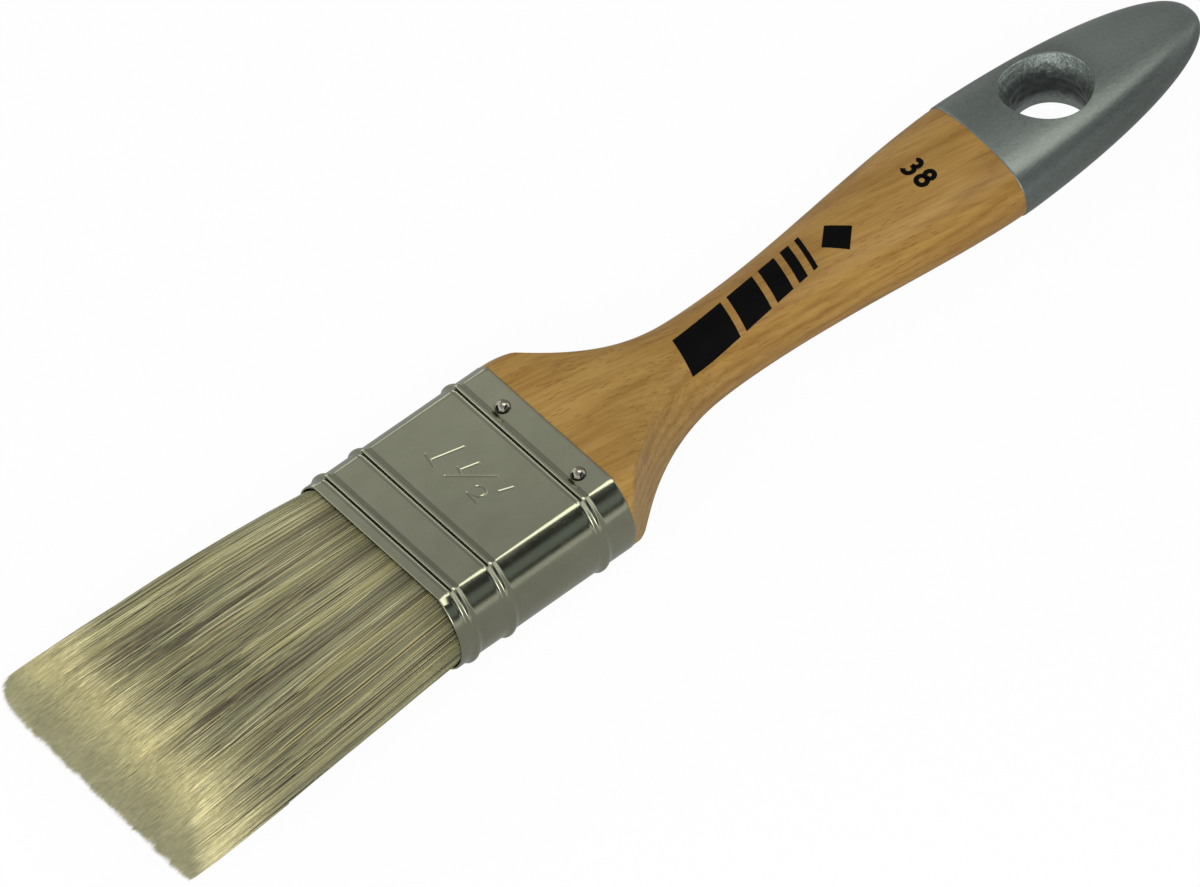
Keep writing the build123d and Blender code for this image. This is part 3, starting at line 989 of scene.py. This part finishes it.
def ferrule_surface(ferrule):
    """The sleeve as one closed sheet: rows run outside, over the lip, back inside and over the mouth."""
    base, normal = ferrule_ring(ferrule, ferrule.corner)
    soft_base, soft_normal = ferrule_ring(ferrule, ferrule.soft_corner)
    span = SHOULDER - MOUTH
    stamp, half = ferrule.stamp_place, STAMP_LENGTH / 2
    dense = np.arange(stamp - half, stamp + half, STAMP_STEP)
    rolls = [place + ferrule.bead_width * np.linspace(*BEAD_ROWS) for place in ferrule.bead_places]
    plain = np.arange(LIP, span - LIP, PLAIN_STEP)
    near = np.concatenate([dense, *rolls])
    plain = plain[np.abs(plain[:, None] - near).min(1) > PLAIN_GAP]
    outside = np.sort(np.concatenate([plain, near, [LIP, span - LIP]]))
    inside = np.sort(np.concatenate([np.linspace(LIP, span - LIP, 12), *[r[::6] for r in rolls]]))[::-1]
    turn = np.linspace(0, np.pi, 8)[1:-1]
    lip_x, lip_depth = LIP * np.sin(turn), ferrule.sheet * (1 - np.cos(turn)) / 2
    x = np.concatenate([outside, span - LIP + lip_x, inside, LIP - lip_x])
    depth = np.concatenate([0 * outside, lip_depth, 0 * inside + ferrule.sheet, lip_depth[::-1]])
    outer = depth < ferrule.sheet * 0.999
    lift = np.broadcast_to((bead_lift(ferrule, x) - depth)[:, None], (len(x), len(base))).copy()
    front = (normal[:, 1] > 0.999)[None, :] & outer[:, None]
    x_grid, y_grid = np.broadcast_to(x[:, None], lift.shape), np.broadcast_to(base[:, 0], lift.shape)
    lift[front] += stamp_lift(ferrule, x_grid[front], y_grid[front])
    flats = (np.abs(normal[:, 1]) > 0.999)[None, :] & outer[:, None]
    for nail in nail_spots():
        away = np.hypot(x_grid[flats] - (nail[0] - MOUTH), y_grid[flats] - nail[1])
        lift[flats] -= NAIL_DIMPLE * np.exp(-((away / DIMPLE_RADIUS) ** 2))
    side = base[:, 0] > ferrule.width / 4
    edge = ferrule.seam_width / 2
    step = ease((base[:, 1] + edge) / SEAM_RISE) * (1 - ease((base[:, 1] - edge) / SEAM_DROP))
    lift += np.where(side, ferrule.seam_step * step, 0)[None, :] * outer[:, None]
    wave = ripple(*SHEET_WAVES)(x[:, None], (base @ WAVE_MIX)[None, :])
    lift += outer[:, None] * wave * WAVINESS
    place = base[None] + normal[None] * (ferrule.corner + lift)[..., None]
    soft_place = soft_base[None] + soft_normal[None] * (ferrule.soft_corner + lift)[..., None]
    place = place + (soft_place - place) * corner_share(ferrule, x)[:, None, None]
    points = np.concatenate([np.broadcast_to((x + MOUTH)[:, None, None], (*lift.shape, 1)), place], -1)
    points = points + np.array([0, 0, AXIS_Z])
    return points.reshape(-1, 3), [grid_faces(len(x), len(base), True, True)]


def nail_spots():
    """Where the nails stand: the middle of each nail's head."""
    spots = []
    for face in ("front", "back"):
        for side in ("left", "right"):
            low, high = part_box(f"nail_{face}_{side}")
            spots.append(((low.x + high.x) / 2, (low.y + high.y) / 2, face, side))
    return spots


def turned(profile, columns, origin, way):
    """A profile of radius and height turned round a vertical axis, with a pole at each end."""
    turn = np.linspace(0, 2 * np.pi, columns, endpoint=False)
    ring = profile[1:-1, None, :1] * np.stack([np.cos(turn), np.sin(turn)], -1)[None]
    height = np.broadcast_to(profile[1:-1, None, 1:], (*ring.shape[:2], 1))
    body = np.concatenate([ring, height], -1).reshape(-1, 3)
    points = np.concatenate([body, [[0, 0, profile[0, 1]], [0, 0, profile[-1, 1]]]])
    points = points * np.array([1, 1, way]) + np.array(origin)
    rows = len(profile) - 2
    quads = grid_faces(rows, columns, wrap_columns=True)
    caps = [fan_faces(np.arange(columns), rows * columns, True)]
    caps.append(fan_faces((rows - 1) * columns + np.arange(columns), rows * columns + 1))
    return points, [quads, np.concatenate(caps)]


# ---------------------------------------------------------------- ink


def ribbon(handle, path, half_width, closed):
    """A stroke of ink along a path of x and y: a thin slab that follows the handle's front face."""
    path = np.asarray(path, float)
    if closed:
        run = np.roll(path, -1, 0) - np.roll(path, 1, 0)
    else:
        run = np.gradient(path, axis=0)
    run = run / np.linalg.norm(run, axis=1, keepdims=True)
    side = np.stack([-run[:, 1], run[:, 0]], -1)
    across = np.linspace(-1, 1, 5)
    flat = path[:, None] + side[:, None] * across[None, :, None] * half_width
    return slab(handle, flat, closed)


def slab(handle, flat, closed=False):
    """A thin closed slab over a grid of x and y, which follows the handle's front face above and below."""
    away = flat[..., 0] - SHOULDER
    height = AXIS_Z + face_height(handle, away, np.abs(flat[..., 1] - askew(away)), wood_reach(handle))
    above = np.concatenate([flat, (height + INK_LIFT)[..., None]], -1)
    below = np.concatenate([flat, (height - INK_SINK)[..., None]], -1)[:, ::-1]
    loop = np.concatenate([above, below], 1)
    rows, columns = loop.shape[:2]
    faces = [grid_faces(rows, columns, closed, True)]
    if not closed:
        half = columns // 2
        for row, flip in ((0, False), (rows - 1, True)):
            number = row * columns
            near = number + np.arange(half)
            far = number + columns - 1 - np.arange(half)
            ends = np.stack([near[:-1], near[1:], far[1:], far[:-1]], -1)
            faces.append(ends if flip else ends[:, ::-1])
    return loop.reshape(-1, 3), faces


def joined(parts):
    """Several meshes as one: their points in a row and their faces renumbered."""
    points, quads, tris, count = [], [], [], 0
    for some, faces in parts:
        for group in faces:
            (quads if group.shape[1] == 4 else tris).append(group + count)
        points.append(some)
        count += len(some)
    groups = [np.concatenate(g) for g in (quads, tris) if g]
    return np.concatenate(points), groups


# ---------------------------------------------------------------- filaments


def bundle_place(fil, ferrule, p, q, along):
    """Y and Z of a spot in the bundle: p across it and q through it, from -1 to 1, along from root to tip.

    The flats and the bulged sides widen evenly from the mouth, and the thickness eases to its full size.
    The bundle has set to one side: it swells at its far side by the mouth and leans back at the tips.
    """
    root_half = ferrule.thickness / 2 - ferrule.sheet - ROOT_GAP
    root_wide = ferrule.width / 2 - ferrule.sheet - ROOT_GAP
    grown = np.clip(along, 0, 1)
    swell = grown * (1 - grown) / (fil.fan_middle * (1 - fil.fan_middle))
    wide = root_wide + (fil.fan_half_width - root_wide) * grown + fil.fan_swell * swell
    thick = root_half + (fil.fan_half_thickness - root_half) * ease(grown * THICKENING)
    bulge = ferrule.bulge + FAN_BULGE * grown * (1 - grown)
    far_side, near_side = np.maximum(p, 0) ** 2, np.maximum(-p, 0) ** 2
    rise, start, way = PUSH_WAY
    sway = FAR_PUSH * far_side * ease(grown / rise) * (1 - ease((grown - start) / way))
    sway = sway - TIP_SWAY * (1 + NEAR_SWAY * near_side) * ease((grown - SWAY_WAY[0]) / SWAY_WAY[1])
    y = p * (wide - bulge * q * q) + sway
    return y, q * soft_min(thick, valley_height(fil, ferrule, y, q, grown), VALLEY_SOFTNESS)


def valley_height(fil, ferrule, y, q, along):
    """Height of the valleys between tufts, above the bundle's middle: arcs that sink towards the tips.

    The front has a valley in its middle, and the back has its valleys between those of the front.
    """
    spread = ferrule.width / 2 + (fil.fan_half_width - ferrule.width / 2) * along
    step = fil.tuft_width * spread / fil.fan_half_width
    shift = np.where(q > 0, 0, 0.5)
    number = np.clip(np.round(y / step - shift), -2, 2 - 2 * shift)
    away = np.clip(np.abs(y - (number + shift) * step), 0, fil.valley_radius)
    root = ferrule.thickness / 2
    bottom = root + (fil.fan_half_thickness - fil.valley_depth - root) * along
    return bottom + fil.valley_radius - np.sqrt(fil.valley_radius**2 - away**2)


def strand_reach(fil, p, q):
    """Where a strand ends, from the mouth: the end is flat in its middle and rounds off at its faces."""
    full = MOUTH - cad_low.x + END_EXTRA - END_SLANT * p
    return full - fil.tip_rounding * np.abs(q) ** 3.5 - fil.side_rounding * np.abs(p) ** 8


def strand_map(rng, home, layer, clump, share_along):
    """The map's two coordinates: each strand's tone runs across it, and its way from root to tip down it.

    A tone is that of the strand's band, of its clump and its streak, and a little of its own, and on the far
    side of the bundle it is paler as painted light.
    """
    swing = np.cos(2 * np.pi * (np.abs(home) / BAND_STEP - 0.5))
    band = np.where(np.abs(home) < BAND_STEP / 2, (1 + swing) / 2, swing)
    streak = ripple(*STREAK_WAVES)(home, layer)
    # painted light: strands on the far side of the fan are made paler
    far_painted_light, start, way = FAR_PAINTED_LIGHT_WAY
    tone = TONE_MIDDLE + BAND_TONE * band + far_painted_light * ease((home - start) / way)
    tone = tone + CLUMP_TONE * clump + STREAK_TONE * streak + rng.normal(0, TONE_SPREAD, len(home))
    tone = np.clip(tone, TONE_WIDTH, TONE_LIMIT - TONE_WIDTH)[:, None]
    rings = share_along.shape[1] - 1
    down = np.repeat(np.clip(share_along[:, :-1], 0, 1), 3, axis=1)
    across = tone + np.tile(np.array([0, 0.5, 1]) * TONE_WIDTH, rings)[None]
    u = np.concatenate([across, tone + TONE_WIDTH / 2], 1)
    v = np.concatenate([down, np.clip(share_along[:, -1:], 0, 1)], 1)
    return np.stack([u.ravel(), v.ravel()], -1)


def strands(fil, ferrule, p, q, first, rings, seed, name, material, loose=1.0):
    """Filaments as three-sided tubes: each runs from its place at the root to its place at the tip.

    Each drifts sideways with its clump and a little by itself, ends a little short of its neighbours, bows
    over towards the middle near a rounded edge, and narrows to a point.
    """
    rng = np.random.default_rng(seed)
    count = len(p)
    home = p * fil.fan_half_width / MM
    tuft = ripple(*TUFT_WAVES)(home, q * fil.fan_half_thickness / MM)
    reach = strand_reach(fil, p, q) - rng.exponential(TIP_LOSS, count)
    reach = reach - TUFT_STEP * np.clip(1 + tuft, 0, TUFT_LIMIT)
    first = np.broadcast_to(first, (count,))[:, None]
    along = first + (1 - first) * np.linspace(0, 1, rings)[None] ** RING_CROWDING
    distance = along * reach[:, None] - (1 - along) * ROOT_DEPTH * (first == 0)
    share_along = distance / (MOUTH - cad_low.x)
    y, z = bundle_place(fil, ferrule, p[:, None], q[:, None], share_along)
    layer = q * LAYER_SCALE
    free = ease(share_along * FREEING)
    clump = ripple(*CLUMP_WAVES)
    spot = home * CLUMP_SCALE, layer
    drift = CLUMP_DRIFT * clump(*spot) + FINE_DRIFT * ripple(*FINE_WAVES)(*spot)
    stray = np.where(rng.random((count, 1)) < STRAY_SHARE, STRAY, 1)
    own = rng.normal(0, OWN_DRIFT, (count, 1)) * stray
    own = own + OWN_SWING * np.sin(share_along * rng.uniform(*OWN_RATES, (count, 1)) + home[:, None])
    y = y + free * (drift[:, None] + own * loose) * (1 - np.abs(p[:, None]) ** 6)
    rate, phase = rng.uniform(*WEAVE_RATES, (count, 1)), rng.uniform(0, 2 * np.pi, (count, 1))
    weave = np.sin(share_along * rate + phase)
    z = z + free * rng.normal(0, OWN_LIFT, (count, 1)) * (1 - np.abs(q[:, None]) ** 6)
    z = z - free * WEAVE * (1 + weave) * np.sign(q[:, None]) * loose
    bow, start, way = BOW_WAY
    z = z * (1 - bow * ease((share_along - start) / way) * np.abs(q[:, None]) ** 3)
    loss, start, way = POINT_WAY
    narrow = fil.radius * (1 - NARROWING * along) * (1 - loss * ease((along - start) / way))
    radius = (narrow[:, :-1] * rng.uniform(*RADIUS_SPREAD, (count, 1)))[..., None]
    turn = rng.uniform(0, 2 * np.pi, (count, 1, 1)) + np.arange(3) * 2 * np.pi / 3
    x = np.broadcast_to((MOUTH - distance)[..., None], (count, rings, 3))
    ring_y = y[:, :-1, None] + radius * np.cos(turn)
    ring_z = z[:, :-1, None] + radius * np.sin(turn)
    tubes = lifted(x[:, :-1], ring_y, ring_z)
    tips = lifted(x[:, -1:, 0], y[:, -1:], z[:, -1:])
    points = np.concatenate([tubes.reshape(count, -1, 3), tips], 1).reshape(-1, 3)
    each = 3 * (rings - 1) + 1
    quads = grid_faces(rings - 1, 3, wrap_columns=True)
    tris = np.concatenate([fan_faces(each - 4 + np.arange(3), each - 1), np.array([[2, 1, 0]])])
    start = (np.arange(count) * each)[:, None, None]
    faces = [(quads[None] + start).reshape(-1, 4), (tris[None] + start).reshape(-1, 3)]
    uv = strand_map(rng, home, layer, clump(home, layer), share_along)
    return build(name, points, faces, material, uv=uv)


def outer_places(count, seed, way):
    """Spots in the outer layers of one half of the bundle: along its face and round its two narrow sides."""
    rng = np.random.default_rng(seed)
    on_side = rng.random(count) < SIDE_SHARE
    depth = rng.random(count) ** 1.3
    side = np.where(rng.random(count) < 0.5, -1, 1) * (1 - 0.5 * LAYER * depth)
    p = np.where(on_side, side, rng.uniform(-1, 1, count))
    q = np.where(on_side, rng.uniform(0, 1, count), 1 - LAYER * depth)
    return p, q * way


def core_surface(fil, ferrule):
    """The shaded inside of the bundle: the same section, one layer in, closed before the tips."""
    turn = np.linspace(0, 2 * np.pi, 96, endpoint=False)
    shape = np.stack([np.cos(turn), np.sin(turn)], -1)
    square = shape / (np.abs(shape) ** 6).sum(-1, keepdims=True) ** (1 / 6)
    cap = np.linspace(0.2, 1.45, 6)
    along = np.concatenate([[-0.03], np.linspace(0, CORE_LENGTH, 20), CORE_LENGTH + CORE_CAP * np.sin(cap)])
    shrink = np.ones(len(along))
    shrink[-6:] = np.cos(cap) ** 0.5
    spot = square[None] * CORE_SHARE * shrink[:, None, None]
    y, z = bundle_place(fil, ferrule, spot[..., 0], spot[..., 1], along[:, None])
    x = np.broadcast_to(MOUTH - along[:, None] * (MOUTH - cad_low.x), y.shape)
    points = lifted(x, y, z).reshape(-1, 3)
    rows, columns = len(along), len(turn)
    ends = [[x[0, 0], 0, AXIS_Z], [x[-1, 0] - 0.4 * MM, 0, AXIS_Z]]
    caps = [fan_faces(np.arange(columns), rows * columns, True)]
    caps.append(fan_faces((rows - 1) * columns + np.arange(columns), rows * columns + 1))
    faces = [grid_faces(rows, columns, wrap_columns=True), np.concatenate(caps)]
    return np.concatenate([points, ends]), faces


# ---------------------------------------------------------------- stage


def flat_piece(name, side_points, width, height, material, turn=np.eye(3), middle=(0, 0, 0)):
    """A flat grid of the stage, turned by a matrix and moved to its middle."""
    side = np.linspace(-0.5, 0.5, side_points)
    u, v = np.meshgrid(side * width, side * height)
    flat = np.stack([u, v, 0 * u], -1).reshape(-1, 3) @ np.array(turn).T + np.array(middle)
    mesh = bpy.data.meshes.new(name)
    mesh.from_pydata(flat.tolist(), [], grid_faces(side_points, side_points).tolist())
    mesh.materials.append(material)
    return placed(name, mesh)


def card(name, middle, facing, width, height, strength, tint=(1, 1, 1)):
    """A studio card that only reflections see: a flat grid that glows evenly towards the brush."""
    shade = Shade(name)
    shade.output(shade.node("ShaderNodeEmission", {}, {"Color": tint, "Strength": strength}))
    turn = Vector(facing).normalized().to_track_quat("Z", "Y").to_matrix()
    piece = flat_piece(name, 5, width, height, shade.material, turn, middle)
    piece.visible_camera = piece.visible_diffuse = piece.visible_shadow = False
    piece.visible_transmission = False


def slanted_card(name, middle, half, distance, width, strength, tint):
    """A card that the narrow side mirrors to the camera, between two heights in degrees above the floor.

    Its middle lies on the cone round the brush's length whose rays the camera sees.
    """
    way = math.radians(middle)
    side = math.sqrt(1 - CARD_SLOPE**2)
    place = Vector((CARD_SLOPE, -side * math.cos(way), side * math.sin(way))) * distance
    height = 2 * side * distance * math.tan(math.radians(half))
    card(name, place, -place, width, height, strength, tint)


def softbox(name, place, power):
    """A square lamp that faces the brush."""
    lamp = bpy.data.lights.new(name, "AREA")
    lamp.shape, lamp.size, lamp.energy = "SQUARE", LAMP_SIZE, power
    held = placed(name, lamp)
    held.location = place
    held.rotation_mode = "QUATERNION"
    held.rotation_quaternion = Vector(place).to_track_quat("Z", "Y")
    held.visible_glossy = False


def ray_share(shade, seen, mirrored):
    """A share for rays from the camera or through glass, one for a mirror's, and 0 for light on things."""
    kinds = ("Camera", "Glossy", "Transmission")
    camera, glossy, through = (shade.node("ShaderNodeLightPath", {}, {}, f"Is {kind} Ray") for kind in kinds)
    return ((camera + through) * seen + glossy * mirrored).clamp()


# ---------------------------------------------------------------- operators


class BRUSH_OT_stage(bpy.types.Operator):
    """Make the camera, the floor, the lamps and the cards that the metal reflects"""

    bl_idname = "brush.stage"
    bl_label = "Stage"

    def execute(self, context):
        stage = context.scene.brush_stage
        context.scene.view_settings.view_transform = "Standard"
        lens = bpy.data.cameras.new("camera")
        lens.lens, lens.clip_start, lens.clip_end = stage.lens, 0.1, 20
        camera = placed("camera", lens)
        turn, tilt, roll = stage.azimuth, stage.elevation, stage.roll
        back = Vector((math.sin(turn) * math.cos(tilt), -math.cos(turn) * math.cos(tilt), math.sin(tilt)))
        level = Vector((math.cos(turn), math.sin(turn), 0))
        upright = back.cross(level)
        right = level * math.cos(roll) - upright * math.sin(roll)
        up = level * math.sin(roll) + upright * math.cos(roll)
        place = Vector((MOUTH, 0, AXIS_Z)) + Vector(stage.aim) + back * stage.distance
        camera.matrix_world = Matrix.Translation(place) @ Matrix((right, up, back)).transposed().to_4x4()
        context.scene.camera = camera

        sky = bpy.data.worlds.new("plain studio")
        sky.use_nodes = True
        shade = Shade("sky")
        shade.tree = sky.node_tree
        shade.tree.nodes.clear()
        strength = SKY_LEVEL + ray_share(shade, 1, 1) * (1 - SKY_LEVEL)
        ground = shade.node("ShaderNodeBackground", {}, {"Color": (1, 1, 1), "Strength": strength})
        shade.node("ShaderNodeOutputWorld", {}, {"Surface": ground})
        bpy.data.materials.remove(shade.material)
        context.scene.world = sky

        shade = Shade("pale floor")
        matt = shade.node("ShaderNodeBsdfDiffuse", {}, {"Color": (0.88, 0.88, 0.88)})
        glow = shade.node("ShaderNodeEmission", {}, {"Color": (1, 1, 1), "Strength": 1.0})
        glowing = ray_share(shade, FLOOR_GLOW, FLOOR_MIRROR)
        shade.output(shade.node("ShaderNodeMixShader", {}, {0: glowing, 1: matt, 2: glow}))
        floor = flat_piece("floor", 9, FLOOR_SIZE, FLOOR_SIZE, shade.material)

        for lamp in LAMPS:
            softbox(*lamp)
        for mirrored in SLANTED_CARDS:
            slanted_card(*mirrored)
        for plain in CARDS:
            card(*plain)
        return {"FINISHED"}


class BRUSH_OT_handle(bpy.types.Operator):
    """Make the varnished beech handle with its tenon, shoulder, blade and bored end"""

    bl_idname = "brush.handle"
    bl_label = "Handle"

    def execute(self, context):
        scene = context.scene
        handle, ferrule = scene.brush_handle, scene.brush_ferrule
        start = wood_reach(handle) - handle.nose_length
        distances = np.concatenate([np.arange(0, start, ROW_STEP), [start], nose_distances(handle, 90)])

        def tenon(ring):
            y, z = ring[:, 1], ring[:, 2] - AXIS_Z
            limit = sleeve_reach(ferrule, y, z, ferrule.sheet + TENON_GAP) / np.hypot(y, z)
            x = np.linspace(SHOULDER - TENON, SHOULDER, 6)[:, None]
            return lifted(*np.broadcast_arrays(x, y * limit, z * limit))

        points, quads, nose, root, _ = blade(handle, ferrule, distances, 0, HANG_RADIUS, tenon)
        faces = [quads, np.concatenate([nose, root])]
        piece = build("handle_wood", points, faces, beech_material(scene.brush_finish), 35)
        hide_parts("handle")
        return {"FINISHED"}


class BRUSH_OT_dip(bpy.types.Operator):
    """Make the coat of silver paint on the handle's end"""

    bl_idname = "brush.dip"
    bl_label = "Dip paint"

    def execute(self, context):
        scene = context.scene
        handle, ferrule = scene.brush_handle, scene.brush_ferrule
        start = dip_low.x - SHOULDER
        rows = nose_distances(handle, 110)
        distances = np.concatenate([start + np.array(EDGE_ROWS) * MM, rows[rows > start + ROW_STEP]])
        film = handle.dip_thickness
        outer, quads, nose, _, columns = blade(handle, ferrule, distances, film, HANG_RADIUS - film)
        for row, share_left in enumerate(EDGE_SHARES):
            ring = slice(row * columns, (row + 1) * columns)
            y, z = outer[ring, 1], outer[ring, 2] - AXIS_Z
            size = np.hypot(y, z)
            sunk = (size - film * (1 - share_left)) / size
            outer[ring, 1], outer[ring, 2] = y * sunk, z * sunk + AXIS_Z
        bore = HANG_RADIUS + FILM_OVERLAP
        inner, under, under_nose, _, _ = blade(handle, ferrule, distances, -FILM_OVERLAP, bore)
        count, ring = len(outer) - 1, np.arange(columns)
        after, inner = np.roll(ring, -1), inner[:-1]
        lip = np.stack([ring, ring + count, after + count, after], -1)
        quads = np.concatenate([quads, under[:, ::-1] + count, lip])
        nose = np.concatenate([nose, under_nose[:, ::-1] + count])
        points = np.concatenate([outer[:-1], inner])
        piece = build("handle_paint", points, [quads, nose], silver_material(scene.brush_finish, handle), 35)
        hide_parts("handle_dip")
        return {"FINISHED"}


class BRUSH_OT_ferrule(bpy.types.Operator):
    """Make the pressed steel sleeve with its beads, its stamped size and its lapped seam"""

    bl_idname = "brush.ferrule"
    bl_label = "Ferrule"

    def execute(self, context):
        scene = context.scene
        points, faces = ferrule_surface(scene.brush_ferrule)
        piece = build("ferrule_sheet", points, faces, steel_material(scene.brush_finish), 40)
        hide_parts("ferrule")
        return {"FINISHED"}


class BRUSH_OT_nails(bpy.types.Operator):
    """Make the four domed nails"""

    bl_idname = "brush.nails"
    bl_label = "Nails"

    def execute(self, context):
        scene = context.scene
        face_height_here = scene.brush_ferrule.thickness / 2
        metal = nail_material(scene.brush_finish, face_height_here)
        for x, y, face, side in nail_spots():
            low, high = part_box(f"nail_{face}_{side}")
            radius, long = (high.y - low.y) / 2, high.z - low.z
            rise = max(high.z - AXIS_Z, AXIS_Z - low.z) - face_height_here
            out = np.linspace(0, 1, 14)
            edge, crown, power = NAIL_DOME
            dome = np.stack([radius * out, rise * (edge + crown * (1 - out**power))], -1)
            under = [(radius * 0.97, -0.12 * MM), (NAIL_SHANK, -0.14 * MM), (NAIL_SHANK, -0.3 * MM)]
            end = rise - long
            shank = [(NAIL_SHANK, end + NAIL_POINT), (NAIL_SHANK * 0.5, end + 0.5 * NAIL_POINT)]
            profile = np.array([*dome, *under, *shank, (0, end)])
            way = 1 if face == "front" else -1
            origin = (x, y, AXIS_Z + way * face_height_here)
            points, faces = turned(profile, 40, origin, way)
            piece = build(f"nail_{face}_{side}_turned", points, faces, metal, 50)
            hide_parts(f"nail_{face}_{side}")
        return {"FINISHED"}


class BRUSH_OT_ink(bpy.types.Operator):
    """Print the plain size number, the slanted bars and the diamond on the handle"""

    bl_idname = "brush.ink"
    bl_label = "Printed marks"

    def execute(self, context):
        scene = context.scene
        handle = scene.brush_handle
        black = ink_material(scene.brush_finish)
        turn = np.linspace(0, 2 * np.pi, 40, endpoint=False)
        half = FIGURE_STROKE / 2
        parts = []
        across, tall = FIGURE_WIDTH / 2, FIGURE_HEIGHT

        def stroke(points, middle, closed):
            u, v = np.array(points).T
            path = np.stack([FIGURE_PLACE[0] + v - tall / 2, middle - u], -1)
            parts.append(ribbon(handle, path + np.array([MOUTH, 0]), half, closed))

        waist = 0.53 * tall
        for radius, low, high, way in ((across, half, waist, 1), (across * 0.88, waist, tall - half, -1)):
            radius, centre, size = radius - half, (low + high) / 2, (high - low) / 2
            loop = np.stack([radius * np.cos(turn), centre + size * np.sin(turn)], -1)
            stroke(loop, FIGURE_PLACE[1] - FIGURE_GAP / 2, True)
            open_turn = way * np.linspace(-2.5, 1.85, 28)
            bow = np.stack([radius * np.cos(open_turn), centre + size * np.sin(open_turn)], -1)
            stroke(bow, FIGURE_PLACE[1] + FIGURE_GAP / 2, False)
        points, faces = joined(parts)
        build("size_number", points, faces, black, 40)

        lean = math.radians(PATTERN_LEAN)
        along = np.array([math.cos(lean), math.sin(lean)])
        over = np.array([-math.sin(lean), math.cos(lean)])
        middle = np.array([MOUTH + PATTERN_PLACE[0], PATTERN_PLACE[1]])
        parts, place = [], -PATTERN_LENGTH / 2
        for width in PATTERN_BARS:
            u = np.linspace(place, place + width, max(int(width / (0.4 * MM)), 4))
            v = np.linspace(-0.5, 0.5, 18) * PATTERN_WIDTH
            slant = u[:, None] + v[None, :] * PATTERN_SLANT
            flat = middle + slant[..., None] * along + v[None, :, None] * over
            parts.append(slab(handle, flat))
            place += width + PATTERN_GAP
        points, faces = joined(parts)
        build("printed_bars", points, faces, black, 40)

        side = np.linspace(-1, 1, 14) * DIAMOND_HALF / math.sqrt(2)
        u, v = np.meshgrid(side, side, indexing="ij")
        middle = np.array([MOUTH + DIAMOND_PLACE[0], DIAMOND_PLACE[1]])
        points, faces = slab(handle, np.stack([u + v, v - u], -1) / math.sqrt(2) + middle)
        build("printed_diamond", points, faces, black, 40)
        return {"FINISHED"}


class BRUSH_OT_filaments(bpy.types.Operator):
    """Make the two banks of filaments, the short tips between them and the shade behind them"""

    bl_idname = "brush.filaments"
    bl_label = "Filaments"

    def execute(self, context):
        scene = context.scene
        fil, ferrule = scene.brush_filaments, scene.brush_ferrule
        hair = filament_material(scene.brush_finish)
        for name, way, seed in (("front", 1, 21), ("back", -1, 22)):
            p, q = outer_places(fil.strands, seed, way)
            piece = strands(fil, ferrule, p, q, 0, LONG_RINGS, seed + 10, f"filaments_{name}_long", hair)
            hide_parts(f"filaments_{name}")
        for number in range(TIP_PIECES):
            rng = np.random.default_rng(40 + number)
            p, q = rng.uniform(-1, 1, (2, fil.tips))
            first = rng.uniform(*TIP_STARTS, fil.tips)
            name, seed = f"filament_tips_{number + 1}", 50 + number
            piece = strands(fil, ferrule, p, q, first, TIP_RINGS, seed, name, hair, TIP_LOOSENESS)
        points, faces = core_surface(fil, ferrule)
        core = build("filament_shade", points, faces, core_material(scene.brush_finish))
        return {"FINISHED"}


class BRUSH_OT_inside(bpy.types.Operator):
    """Give the spacer and the resin inside the ferrule their materials"""

    bl_idname = "brush.inside"
    bl_label = "Spacer and resin"

    def execute(self, context):
        wood = plain_material("raw wood", (0.55, 0.40, 0.22), 0.8, 1.1, 0.7)
        glue = plain_material("amber resin", (0.32, 0.16, 0.04), 0.8, 1.2, 0.25)
        for node, finish in (("spacer", wood), ("resin", glue)):
            for place in frame["nodes"][node].material_slots:
                place.material = finish
        return {"FINISHED"}


class BRUSH_PT_panel(bpy.types.Panel):
    """The brush's pieces and their sizes"""

    bl_idname = "BRUSH_PT_panel"
    bl_label = "Flat paint brush"
    bl_space_type = "VIEW_3D"
    bl_region_type = "UI"
    bl_category = "Brush"

    def draw(self, context):
        for operator in OPERATORS:
            self.layout.operator(operator.bl_idname)
        for name in GROUPS:
            group = getattr(context.scene, name)
            box = self.layout.box()
            for prop in group.bl_rna.properties:
                if prop.identifier not in ("name", "rna_type"):
                    box.prop(group, prop.identifier)


GROUPS = {
    "brush_stage": StageSizes,
    "brush_handle": HandleSizes,
    "brush_ferrule": FerruleSizes,
    "brush_filaments": FilamentSizes,
    "brush_finish": Finishes,
}
OPERATORS = [
    BRUSH_OT_stage,
    BRUSH_OT_handle,
    BRUSH_OT_dip,
    BRUSH_OT_ferrule,
    BRUSH_OT_nails,
    BRUSH_OT_ink,
    BRUSH_OT_filaments,
    BRUSH_OT_inside,
]


def register():
    for kind in (*GROUPS.values(), *OPERATORS, BRUSH_PT_panel):
        bpy.utils.register_class(kind)
    for name, kind in GROUPS.items():
        setattr(bpy.types.Scene, name, PointerProperty(type=kind))


def unregister():
    for name in GROUPS:
        delattr(bpy.types.Scene, name)
    for kind in (BRUSH_PT_panel, *reversed(OPERATORS), *reversed(GROUPS.values())):
        bpy.utils.unregister_class(kind)


def main():
    """Register the add-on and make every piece."""
    register()
    for operator in OPERATORS:
        group, _, name = operator.bl_idname.partition(".")
        getattr(getattr(bpy.ops, group), name)()


if __name__ == "__main__":
    main()
